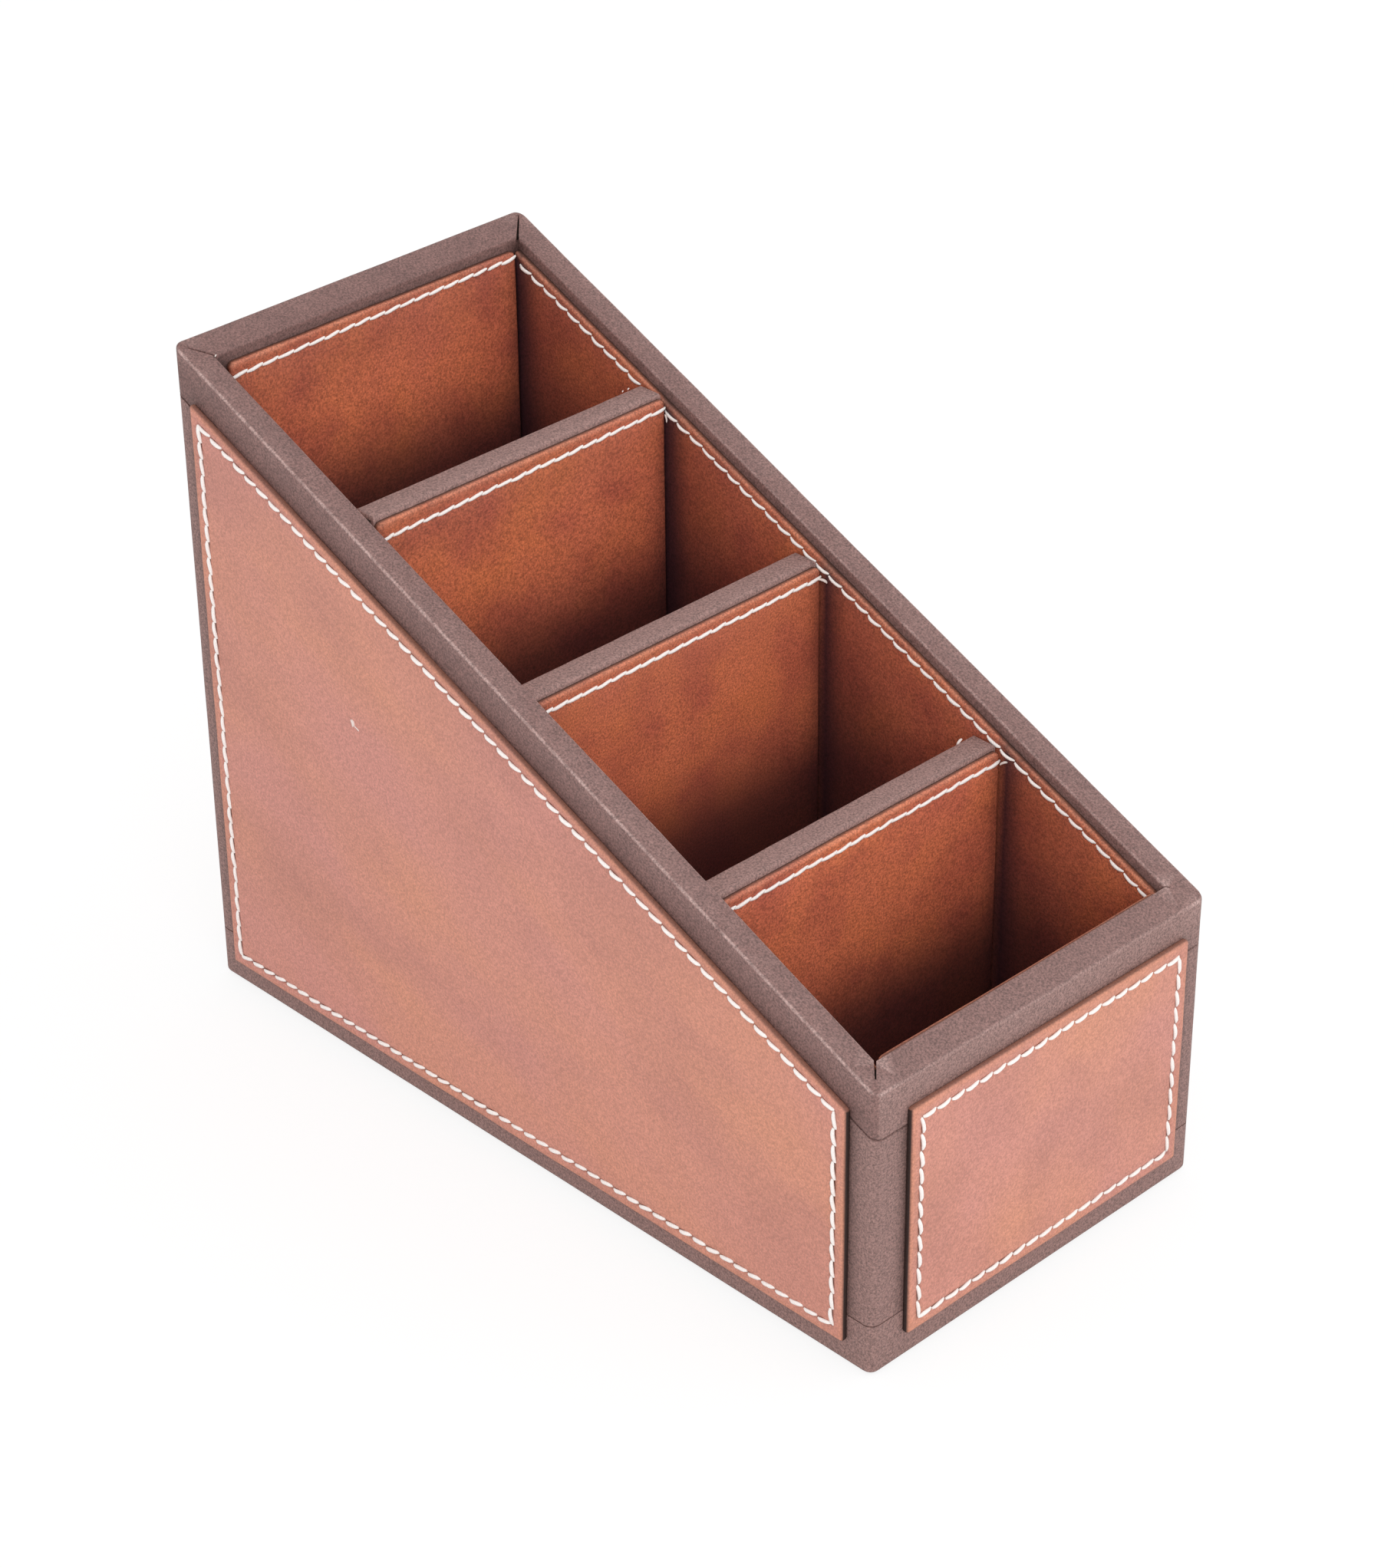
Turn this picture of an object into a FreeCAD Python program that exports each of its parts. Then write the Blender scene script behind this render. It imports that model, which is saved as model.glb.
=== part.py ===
import FreeCAD, Part
import math
import os

# Pen organizer: a box of leather-covered boards with a sloped rim and four compartments in a row.
# Millimetres. X runs across, Y from the low front to the high back, Z up.
# The origin is the middle of the underside.

# Outer form, over the smooth leather and without the raised panels
box_width = 96.5
front_height = 67.7
back_height = 155.7
corner_radius = 2.2
base_edge_radius = 1.0

# Clear depth of each compartment, between the linings
front_compartment_depth = 41.5
second_compartment_depth = 42.6
third_compartment_depth = 37.8
back_compartment_depth = 37.6

# Stiff boards inside the leather
wall_board = 4.3
base_board = 3.8
front_divider_board = 4.2
middle_divider_board = 4.2
rear_divider_board = 4.2

# Drop of each divider's top below the rim, at the divider's middle
front_divider_drop = 5.5
middle_divider_drop = 4.8
rear_divider_drop = 2.3

# Smooth leather of the bindings, the wrap and the divider caps
leather = 0.9
rim_outer_flange = 9.55
rim_inner_flange = 7.5
rim_outer_radius = 0.8
rim_inner_radius = 0.6
base_binding_height = 11.75
base_binding_fold = 9.0
seam_gap = 0.3
cap_flange = 8.0
cap_edge_radius = 0.7
mitre_slit = 0.4
front_left_mitre = 4.4
front_right_mitre = 3.4
back_left_mitre = 5.4
back_right_mitre = 5.6

# Tan linings inside: how far they stand proud of the bindings, and their upper edges
lining_proud = 1.4
lining_edge_radius = 0.7
side_lining_drop = 2.5
back_lining_drop = 2.6
front_lining_drop = 0.9
divider_lining_drop = 1.2
floor_lining = 1.0
floor_lining_gap = 0.2

# Tan panels outside, with their margins to the edges of each outer face
panel_thickness = 1.5
panel_edge_radius = 0.85
panel_corner_radius = 1.0
side_panel_top_margin = 7.9
side_panel_front_margin = 6.45
side_panel_back_margin = 6.0
side_panel_foot_margin = 6.1
front_panel_left_margin = 8.7
front_panel_right_margin = 6.4
front_panel_top_margin = 6.55
front_panel_foot_margin = 6.8
back_panel_side_margin = 7.6
back_panel_top_margin = 6.6
back_panel_foot_margin = 6.8

# Thread
stitch_length = 3.3
stitch_width = 0.75
stitch_height = 0.35
stitch_slant = 9.0
stitch_end_taper = 0.4
panel_stitch_pitch = 3.9
lining_stitch_pitch = 4.1
panel_stitch_setback = 2.9
slope_stitch_setback = 2.4
side_lining_stitch_setback = 1.8
back_lining_stitch_setback = 2.5
divider_stitch_setback = 2.5
thread_clearance = 0.1

# Underside
base_sheet = 0.4
base_sheet_inset = 3.0
base_sheet_radius = 2.0

# Largest part of a wall's thickness that a rolled edge may take
rolled_share = 0.9

# Sizes that follow from the ones above
compartment_depths = [
    front_compartment_depth,
    second_compartment_depth,
    third_compartment_depth,
    back_compartment_depth,
]
dividers = [
    ("front_divider", front_divider_board, front_divider_drop),
    ("middle_divider", middle_divider_board, middle_divider_drop),
    ("rear_divider", rear_divider_board, rear_divider_drop),
]
skin = leather + lining_proud
end_gap = stitch_height + thread_clearance
lining_roll = min(lining_edge_radius, rolled_share * lining_proud)
rim_width = leather + wall_board + leather
wall_depth = rim_width + lining_proud
core_inset = leather + wall_board
box_length = 2 * wall_depth + sum(compartment_depths) + sum(board + 2 * skin for _, board, _ in dividers)
half_width = box_width / 2
half_length = box_length / 2
rim_slope = (back_height - front_height) / box_length
slope_stretch = math.hypot(1, rim_slope)

board_foot = base_sheet + leather
floor_level = board_foot + base_board
inner_half_width = half_width - wall_depth
core_half_width = half_width - core_inset
core_half_length = half_length - core_inset


def vector(x, y, z):
    return FreeCAD.Vector(x, y, z)


def rim_height(y, drop=0.0):
    """Height at y of the rim's plane, or of the parallel plane that lies square below it by drop."""
    return front_height + (y + half_length) * rim_slope - drop * slope_stretch


def block(x0, x1, y0, y1, z0, z1):
    return Part.makeBox(x1 - x0, y1 - y0, z1 - z0, vector(x0, y0, z0))


def prism(points, depth):
    """Straight solid on the closed outline of the points, swept by the depth vector."""
    return Part.Face(Part.makePolygon(points + points[:1])).extrude(depth)


def sloped_block(x0, x1, y0, y1, z0, drop):
    """Block with a flat foot and a top that is parallel to the rim, square below it by drop."""
    side = [
        vector(x0, y0, z0),
        vector(x0, y1, z0),
        vector(x0, y1, rim_height(y1, drop)),
        vector(x0, y0, rim_height(y0, drop)),
    ]
    return prism(side, vector(x1 - x0, 0, 0))


def edges_along(shape, direction):
    """Straight edges of the shape that are parallel to the direction."""
    straight = [edge for edge in shape.Edges if isinstance(edge.Curve, Part.Line)]
    return [edge for edge in straight if edge.Curve.Direction.cross(direction).Length < 1e-6]


def plan_block(inset, z0, z1, radius=0.0):
    """Upright block over the organizer's plan, drawn in by inset, with rounded upright corners."""
    x = half_width - inset
    y = half_length - inset
    plain = block(-x, x, -y, y, z0, z1)
    if radius > 0:
        return plain.makeFillet(radius, edges_along(plain, vector(0, 0, 1)))
    return plain


def plan_wedge(inset, z0, drop, radius=0.0):
    """The same upright block, cut off by a plane that lies square below the rim by drop."""
    reach = half_width + half_length
    return plan_block(inset, z0, back_height, radius).common(
        sloped_block(-reach, reach, -half_length, half_length, z0, drop)
    )


def export(name, solids):
    shape = solids if isinstance(solids, Part.Shape) else Part.makeCompound(solids)
    shape.exportStep(f"parts/{name}.step")
    print(name, len(shape.Solids), "solids", round(shape.Volume, 1), "mm3", "valid", shape.isValid())


# Boards

def side_board(side):
    """Full-length side wall: its outer upright corners are rounded to match the leather."""
    outline = plan_wedge(leather, board_foot, leather, corner_radius - leather)
    x0, x1 = sorted([side * core_half_width, side * half_width])
    return outline.common(block(x0, x1, -half_length, half_length, 0, back_height))


def end_board(end):
    """Front or back wall, between the side walls."""
    y0, y1 = sorted([end * core_half_length, end * (half_length - leather)])
    return sloped_block(-core_half_width, core_half_width, y0, y1, board_foot, leather)


def base_board_shape():
    return block(
        -core_half_width, core_half_width, -core_half_length, core_half_length, board_foot, floor_level
    )


# Smooth leather over the edges

def mitre_slits(inner_x, inner_y, reaches, z0, z1):
    """Thin upright slots on the corner diagonals, from a ring's inner corners outwards."""
    slits = []
    for side, end, reach in reaches:
        slot = block(-mitre_slit, reach, -mitre_slit / 2, mitre_slit / 2, z0, z1)
        slot.rotate(vector(0, 0, 0), vector(0, 0, 1), math.degrees(math.atan2(end, side)))
        slot.translate(vector(side * inner_x, end * inner_y, 0))
        slits.append(slot)
    return slits


def rim_binding():
    """Strip folded over the rim: outer flange, rolled top and inner flange, mitred at the corners."""
    skirt = plan_wedge(0, board_foot, 0, corner_radius)
    skirt = skirt.cut(sloped_block(-box_width, box_width, -half_length, half_length, 0, rim_outer_flange))
    strip = skirt.cut(plan_block(rim_width, 0, back_height))

    def on_rim(edge):
        middle = edge.valueAt((edge.FirstParameter + edge.LastParameter) / 2)
        ends = [vertex.Point for vertex in edge.Vertexes] + [middle]
        return all(abs(point.z - rim_height(point.y)) < 1e-4 for point in ends)

    def inside(edge):
        middle = edge.valueAt((edge.FirstParameter + edge.LastParameter) / 2)
        overhang_x = abs(middle.x) - (half_width - rim_width)
        overhang_y = abs(middle.y) - (half_length - rim_width)
        return max(overhang_x, overhang_y) < 1e-4

    strip = strip.makeFillet(rim_outer_radius, [e for e in strip.Edges if on_rim(e) and not inside(e)])
    strip = strip.makeFillet(rim_inner_radius, [e for e in strip.Edges if on_rim(e) and inside(e)])
    channel = plan_wedge(leather, 0, leather, corner_radius - leather)
    strip = strip.cut(channel.cut(plan_block(core_inset, 0, back_height)))
    strip = strip.cut(plan_wedge(core_inset, 0, rim_inner_flange))
    corners = [
        (-1, -1, front_left_mitre),
        (1, -1, front_right_mitre),
        (-1, 1, back_left_mitre),
        (1, 1, back_right_mitre),
    ]
    inner_x = half_width - rim_width
    inner_y = half_length - rim_width
    return strip.cut(mitre_slits(inner_x, inner_y, corners, 0, back_height + leather))


def wall_wrap():
    """One strip round all four walls, between the seams of the two bindings."""
    foot = base_sheet + base_binding_height + seam_gap
    outside = plan_wedge(0, foot, rim_outer_flange + seam_gap, corner_radius)
    return outside.cut(plan_block(leather, 0, back_height, corner_radius - leather))


def base_binding():
    """Strip round the foot, folded in under the boards and mitred at the corners."""
    strip = plan_block(0, base_sheet, base_sheet + base_binding_height, corner_radius)
    lower = [edge for edge in strip.Edges if edge.BoundBox.ZMax < base_sheet + 1e-4]
    strip = strip.makeFillet(base_edge_radius, lower)
    strip = strip.cut(plan_block(leather, board_foot, back_height, corner_radius - leather))
    strip = strip.cut(plan_block(base_binding_fold, 0, back_height))
    reach = (base_binding_fold - base_sheet_inset) * math.sqrt(2)
    corners = [(side, end, reach) for side in (-1, 1) for end in (-1, 1)]
    fold_x = half_width - base_binding_fold
    fold_y = half_length - base_binding_fold
    return strip.cut(mitre_slits(fold_x, fold_y, corners, 0, board_foot))


def base_sheet_shape():
    """Thin sheet over the folded-in leather, thicker in the middle where it meets the board."""
    plate = plan_block(base_sheet_inset, 0, base_sheet, base_sheet_radius)
    return plate.fuse(plan_block(base_binding_fold, 0, board_foot)).removeSplitter()


# Dividers

def cap_top(centre, drop):
    return rim_height(centre) - drop


def divider_board(centre, board, drop):
    return block(
        -inner_half_width,
        inner_half_width,
        centre - board / 2,
        centre + board / 2,
        floor_level,
        cap_top(centre, drop) - leather,
    )


def divider_cap(centre, board, drop):
    """Leather folded over the divider's top, with every upper edge rolled.

    Its ends stop short of the side linings, which leaves room for their thread.
    """
    top = cap_top(centre, drop)
    half = board / 2 + leather
    reach = inner_half_width - end_gap
    cap = block(-reach, reach, centre - half, centre + half, top - cap_flange, top)
    upper = [edge for edge in cap.Edges if edge.BoundBox.ZMin > top - 1e-4]
    cap = cap.makeFillet(cap_edge_radius, upper)
    return cap.cut(divider_board(centre, board, drop))


# Stitched leather. Each piece is drawn flat, with u to the right, v up and w towards the viewer,
# and then set on its wall.

def on_wall(u_axis, w_axis, origin):
    """Matrix that sets a flat drawing on an upright wall that faces along w_axis."""
    matrix = FreeCAD.Matrix()
    matrix.A11, matrix.A21, matrix.A31 = u_axis
    matrix.A12, matrix.A22, matrix.A32 = 0, 0, 1
    matrix.A13, matrix.A23, matrix.A33 = w_axis
    matrix.A14, matrix.A24, matrix.A34 = origin
    return matrix


def place(shape, wall):
    return shape.transformed(wall, True)


def rectangle(u0, u1, v0, v1):
    return [(u0, v0), (u1, v0), (u1, v1), (u0, v1)]


def leather_plate(outline, back, front, roll, corner=0.0):
    """Plate on a flat outline, from depth back to depth front, with its front edges rolled.

    A plate with no corner radius is a lining: its lowest edge stays square, on the floor.
    """
    plate = prism([vector(u, v, back) for u, v in outline], vector(0, 0, front - back))
    if corner > 0:
        plate = plate.makeFillet(corner, edges_along(plate, vector(0, 0, 1)))
    rim = [edge for edge in plate.Edges if edge.BoundBox.ZMin > front - 1e-4]
    if corner == 0:
        foot = min(v for _, v in outline)
        rim = [edge for edge in rim if edge.BoundBox.YMax > foot + 1e-4]
    return plate.makeFillet(roll, rim)


def inset_outline(outline, setbacks):
    """Corners of the outline after each side, counter-clockwise, moves in by its own setback."""
    lines = []
    for (u0, v0), (u1, v1), setback in zip(outline, outline[1:] + outline[:1], setbacks):
        length = math.hypot(u1 - u0, v1 - v0)
        across = (-(v1 - v0) / length, (u1 - u0) / length)
        distance = across[0] * u0 + across[1] * v0 + setback
        lines.append((across, distance))
    corners = []
    for (a, p), (b, q) in zip(lines[-1:] + lines[:-1], lines):
        determinant = a[0] * b[1] - a[1] * b[0]
        corners.append(((p * b[1] - q * a[1]) / determinant, (q * a[0] - p * b[0]) / determinant))
    return corners


def stitch():
    """One stitch, lying along u with its foot on w = 0: a low bar that rises to a ridge."""
    end = stitch_length / 2
    side = stitch_width / 2
    foot = [vector(u, v, 0) for u, v in rectangle(-end, end, -side, side)]
    ridge = [vector(u, 0, stitch_height) for u in (stitch_end_taper - end, end - stitch_end_taper)]
    outlines = [
        foot,
        [foot[0], foot[1], ridge[1], ridge[0]],
        [foot[1], foot[2], ridge[1]],
        [foot[2], foot[3], ridge[0], ridge[1]],
        [foot[3], foot[0], ridge[0]],
    ]
    faces = [Part.Face(Part.makePolygon(outline + outline[:1])) for outline in outlines]
    return Part.Solid(Part.Shell(faces))


def stitch_row(start, end, depth, pitch, wall):
    """Stitches from start to end on the face at the given depth, each turned by the slant."""
    length = math.dist(start, end)
    count = max(1, round(length / pitch))
    heading = math.degrees(math.atan2(end[1] - start[1], end[0] - start[0]))
    row = []
    for index in range(count):
        share = (index + 0.5) / count
        u = start[0] + (end[0] - start[0]) * share
        v = start[1] + (end[1] - start[1]) * share
        turn = FreeCAD.Rotation(vector(0, 0, 1), heading + stitch_slant)
        seat = FreeCAD.Placement(vector(u, v, depth), turn)
        row.append(place(stitch(), wall * seat.toMatrix()))
    return row


def outer_panel(outline, setbacks, wall):
    """Raised panel on an outer face, with thread all round it."""
    roll = min(panel_edge_radius, rolled_share * panel_thickness, panel_corner_radius)
    plate = leather_plate(outline, 0, panel_thickness, roll, panel_corner_radius)
    corners = inset_outline(outline, setbacks)
    thread = []
    for start, end in zip(corners, corners[1:] + corners[:1]):
        thread += stitch_row(start, end, panel_thickness, panel_stitch_pitch, wall)
    return place(plate, wall), thread


def side_panel(side):
    """Outer panel of a side wall; u runs to the viewer's right, so it turns with the side."""
    front = -half_length + side_panel_front_margin
    back = half_length - side_panel_back_margin
    foot = side_panel_foot_margin
    corners = [
        (front, foot),
        (back, foot),
        (back, rim_height(back, side_panel_top_margin)),
        (front, rim_height(front, side_panel_top_margin)),
    ]
    setbacks = [panel_stitch_setback, panel_stitch_setback, slope_stitch_setback, panel_stitch_setback]
    if side < 0:
        corners = [(-y, z) for y, z in reversed(corners)]
        setbacks = [slope_stitch_setback, panel_stitch_setback, panel_stitch_setback, panel_stitch_setback]
    wall = on_wall((0, side, 0), (side, 0, 0), (side * half_width, 0, 0))
    return outer_panel(corners, setbacks, wall)


def front_panel():
    outline = rectangle(
        -half_width + front_panel_left_margin,
        half_width - front_panel_right_margin,
        front_panel_foot_margin,
        front_height - front_panel_top_margin,
    )
    wall = on_wall((1, 0, 0), (0, -1, 0), (0, -half_length, 0))
    return outer_panel(outline, [panel_stitch_setback] * 4, wall)


def back_panel():
    reach = half_width - back_panel_side_margin
    outline = rectangle(-reach, reach, back_panel_foot_margin, back_height - back_panel_top_margin)
    wall = on_wall((-1, 0, 0), (0, 1, 0), (0, half_length, 0))
    return outer_panel(outline, [panel_stitch_setback] * 4, wall)


def rim_flange_space():
    """What the rim binding's inner flange takes up behind the linings."""
    ring = plan_wedge(core_inset, 0, 0).cut(plan_block(rim_width, 0, back_height))
    return ring.cut(plan_wedge(core_inset, 0, rim_inner_flange))


def under_a_divider(shape):
    """Whether the end of a divider's board lies on the shape."""
    for (_, board, drop), centre in zip(dividers, divider_centres):
        end = divider_board(centre, board, drop)
        if shape.BoundBox.intersect(end.BoundBox) and shape.common(end).Volume > 0:
            return True
    return False


def side_lining(side):
    """Lining of a side wall, from front wall to back wall, with its thread row along the rim.

    The row has no stitch where a divider's board is set against the lining.
    """
    outline = [
        (-core_half_length, floor_level),
        (core_half_length, floor_level),
        (core_half_length, rim_height(core_half_length, side_lining_drop)),
        (-core_half_length, rim_height(-core_half_length, side_lining_drop)),
    ]
    if side > 0:
        outline = [(-y, z) for y, z in reversed(outline)]
    wall = on_wall((0, -side, 0), (-side, 0, 0), (side * inner_half_width, 0, 0))
    plate = leather_plate(outline, -skin, 0, lining_roll)
    reach = half_length - wall_depth - lining_stitch_pitch / 2
    row_drop = side_lining_drop + side_lining_stitch_setback
    start, end = [(-side * y, rim_height(y, row_drop)) for y in (side * reach, -side * reach)]
    row = stitch_row(start, end, 0, lining_stitch_pitch, wall)
    row = [bar for bar in row if not under_a_divider(bar)]
    return place(plate, wall).cut(rim_flange_space()), row


def cross_lining(face, facing, top, setback):
    """Lining of a wall that runs across, between the side linings; it faces along y by facing."""
    reach = inner_half_width - end_gap
    wall = on_wall((-facing, 0, 0), (0, facing, 0), (0, face, 0))
    outline = rectangle(-reach, reach, floor_level, top)
    plate = leather_plate(outline, -skin, 0, lining_roll)
    row_reach = reach - lining_stitch_pitch / 4
    row = stitch_row((-row_reach, top - setback), (row_reach, top - setback), 0, lining_stitch_pitch, wall)
    return place(plate, wall), row


def end_lining(end, drop):
    """Lining of the front or back wall, cut back behind for the rim binding's inner flange."""
    rim_edge = end * (half_length - rim_width)
    top = rim_height(rim_edge) - drop
    plate, row = cross_lining(end * (half_length - wall_depth), -end, top, back_lining_stitch_setback)
    return plate.cut(rim_flange_space()), row


def divider_lining(centre, board, drop, facing):
    """Lining of one face of a divider, cut back behind for the cap's flange."""
    top = cap_top(centre, drop)
    face = centre + facing * (board / 2 + skin)
    plate, row = cross_lining(face, facing, top - divider_lining_drop, divider_stitch_setback)
    half = board / 2 + leather
    cap_space = block(-half_width, half_width, centre - half, centre + half, top - cap_flange, top)
    return plate.cut(cap_space), row


def floor_lining_shape(front, back):
    reach = inner_half_width - floor_lining_gap
    return block(
        -reach,
        reach,
        front + floor_lining_gap,
        back - floor_lining_gap,
        floor_level,
        floor_level + floor_lining,
    )


# Front and back face of every compartment, and the middle of every divider
compartments = []
divider_centres = []
face = -half_length + wall_depth
for index, depth in enumerate(compartment_depths):
    compartments.append((face, face + depth))
    face += depth
    if index < len(dividers):
        board = dividers[index][1]
        divider_centres.append(face + skin + board / 2)
        face += board + 2 * skin

os.makedirs("parts", exist_ok=True)

export("side_board_left", side_board(-1))
export("side_board_right", side_board(1))
export("front_board", end_board(-1))
export("back_board", end_board(1))
export("base_board", base_board_shape())
export("rim_binding", rim_binding())
export("wall_wrap", wall_wrap())
export("base_binding", base_binding())
export("base_sheet", base_sheet_shape())

stitched_pieces = {
    "left_panel": side_panel(-1),
    "right_panel": side_panel(1),
    "front_panel": front_panel(),
    "back_panel": back_panel(),
    "side_lining_left": side_lining(-1),
    "side_lining_right": side_lining(1),
    "front_lining": end_lining(-1, front_lining_drop),
    "back_lining": end_lining(1, back_lining_drop),
}

for (name, board, drop), centre in zip(dividers, divider_centres):
    export(f"{name}_board", divider_board(centre, board, drop))
    export(f"{name}_cap", divider_cap(centre, board, drop))
    stitched_pieces[f"{name}_front_lining"] = divider_lining(centre, board, drop, -1)
    stitched_pieces[f"{name}_rear_lining"] = divider_lining(centre, board, drop, 1)

for name, (plate, thread) in stitched_pieces.items():
    export(name, plate)
    export(f"{name}_stitching", thread)

floor_names = ["front", "second", "third", "back"]
for name, (front, back) in zip(floor_names, compartments):
    export(f"{name}_floor_lining", floor_lining_shape(front, back))
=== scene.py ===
import math

import bmesh
import bpy
from bpy.props import FloatProperty, FloatVectorProperty, PointerProperty
from mathutils import Matrix, Vector


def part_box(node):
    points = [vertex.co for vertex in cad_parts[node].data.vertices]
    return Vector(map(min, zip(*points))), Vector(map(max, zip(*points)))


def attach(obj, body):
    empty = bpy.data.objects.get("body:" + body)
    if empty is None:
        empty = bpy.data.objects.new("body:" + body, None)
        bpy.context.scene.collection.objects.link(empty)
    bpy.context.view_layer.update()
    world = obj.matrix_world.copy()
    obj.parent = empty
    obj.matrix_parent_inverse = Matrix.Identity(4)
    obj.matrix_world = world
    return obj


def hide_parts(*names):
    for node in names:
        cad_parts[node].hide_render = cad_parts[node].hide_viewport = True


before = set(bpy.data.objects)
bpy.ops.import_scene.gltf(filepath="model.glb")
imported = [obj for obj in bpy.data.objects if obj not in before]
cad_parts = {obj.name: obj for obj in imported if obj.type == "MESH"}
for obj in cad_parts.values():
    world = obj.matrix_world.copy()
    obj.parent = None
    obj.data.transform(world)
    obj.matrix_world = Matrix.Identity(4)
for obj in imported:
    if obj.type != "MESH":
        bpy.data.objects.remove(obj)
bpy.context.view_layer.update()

bl_info = {
    "name": "Leather Pen Organizer",
    "version": (1, 0, 0),
    "blender": (4, 5, 0),
    "location": "3D View > Sidebar > Organizer",
    "description": "Dresses the pen organizer's frame in stitched leather",
    "category": "Object",
}

BODY = "root"

# Directions
RIGHT = Vector((1, 0, 0))
BACK = Vector((0, 1, 0))
UP = Vector((0, 0, 1))


# Sizes that come from the frame, in metres

def low(node):
    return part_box(node)[0]


def high(node):
    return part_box(node)[1]


HALF_WIDTH = high("rim_binding").x
HALF_LENGTH = high("rim_binding").y
SIDE_BOARD_TOP = high("side_board_left")
SLOPE = (SIDE_BOARD_TOP.z - high("front_board").z) / (SIDE_BOARD_TOP.y - high("front_board").y)
SLOPE_STRETCH = math.hypot(1, SLOPE)
SLOPE_ANGLE = math.atan(SLOPE)
LEATHER = HALF_WIDTH - high("side_board_right").x
RIM_WIDTH = HALF_WIDTH - high("front_board").x + LEATHER

# Half of the opening inside the rim
OPENING_X = HALF_WIDTH - RIM_WIDTH
OPENING_Y = HALF_LENGTH - RIM_WIDTH

DIVIDERS = ("front", "middle", "rear")

# Sizes that the frame doesn't hold, in metres
RIM_OUTER_FLANGE = 9.55e-3
RIM_INNER_FLANGE = 7.5e-3
CAP_FLANGE = 8e-3
SHEET_OVERLAP = 6e-3
WRAP_GAP = 5e-4
PANEL_SETBACK = 2.9e-3
SLOPE_SETBACK = 2.4e-3
SIDE_LINING_SETBACK = 1.8e-3
END_LINING_SETBACK = 2.5e-3
REAR_LINING_DROP = 0.8e-3
BACK_LINING_SHORT = 1.0e-3
THREAD_WANDER = 5e-4

# Gaps at the rim's inner corners: side, end, and how far the gap runs outwards
MITRES = ((-1, -1, 4.4e-3), (1, -1, 1.2e-3), (-1, 1, 5.4e-3), (1, 1, 6.6e-3))
MITRE_DEPTH = 1.4e-3

# How much lower than usual a row of thread runs at its left and right end
ROW_SLIP = {"back_lining": (0.5e-3, -1.1e-3), "rear_divider_front_lining": (1.2e-3, -0.3e-3)}

# Shade of each lining's upper edge, and how far down the bright band below it reaches
USUAL_LIGHT = (0.2, 26e-3)
COMPARTMENT_LIGHT = {
    "back_lining": (0.28, 22e-3),
    "rear_divider_front_lining": (0.24, 27e-3),
    "middle_divider_front_lining": (0.2, 30e-3),
    "front_divider_front_lining": (0.03, 26e-3),
    "front_lining": (0.4, 20e-3),
}

# Shade of the side walls: all over, towards the face behind, close to that face, and far down
SIDE_SHADE = (0.28, 0.22, 0.5, 0.74)

# Shade of the faces between them: close to the side walls, and far down
END_SHADE = (0.5, 0.85)

# Distances below which points count as being in the same place, or as touching
SAME = 1e-5
NEAR = 1e-4


def rim_height(y, drop=0.0):
    """Height at y of the rim's plane, or of the parallel plane that lies square below it by drop."""
    return SIDE_BOARD_TOP.z + (y - SIDE_BOARD_TOP.y) * SLOPE + (LEATHER - drop) * SLOPE_STRETCH


# Settings that a user would change

def length(name, description, millimetres):
    return FloatProperty(
        name=name, description=description, default=millimetres / 1000,
        min=0, subtype="DISTANCE", unit="LENGTH",
    )


def turn(name, description, degrees):
    return FloatProperty(
        name=name, description=description, default=math.radians(degrees), subtype="ANGLE", unit="ROTATION"
    )


def power(name, description, watts):
    return FloatProperty(name=name, description=description, default=watts, min=0, unit="POWER")


def colour(name, description, red, green, blue):
    """Colour written as it looks on a screen, 0 to 255."""
    linear = [((value / 255 + 0.055) / 1.055) ** 2.4 for value in (red, green, blue)]
    return FloatVectorProperty(
        name=name, description=description, default=(*linear, 1), size=4, min=0, max=1, subtype="COLOR"
    )


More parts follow.
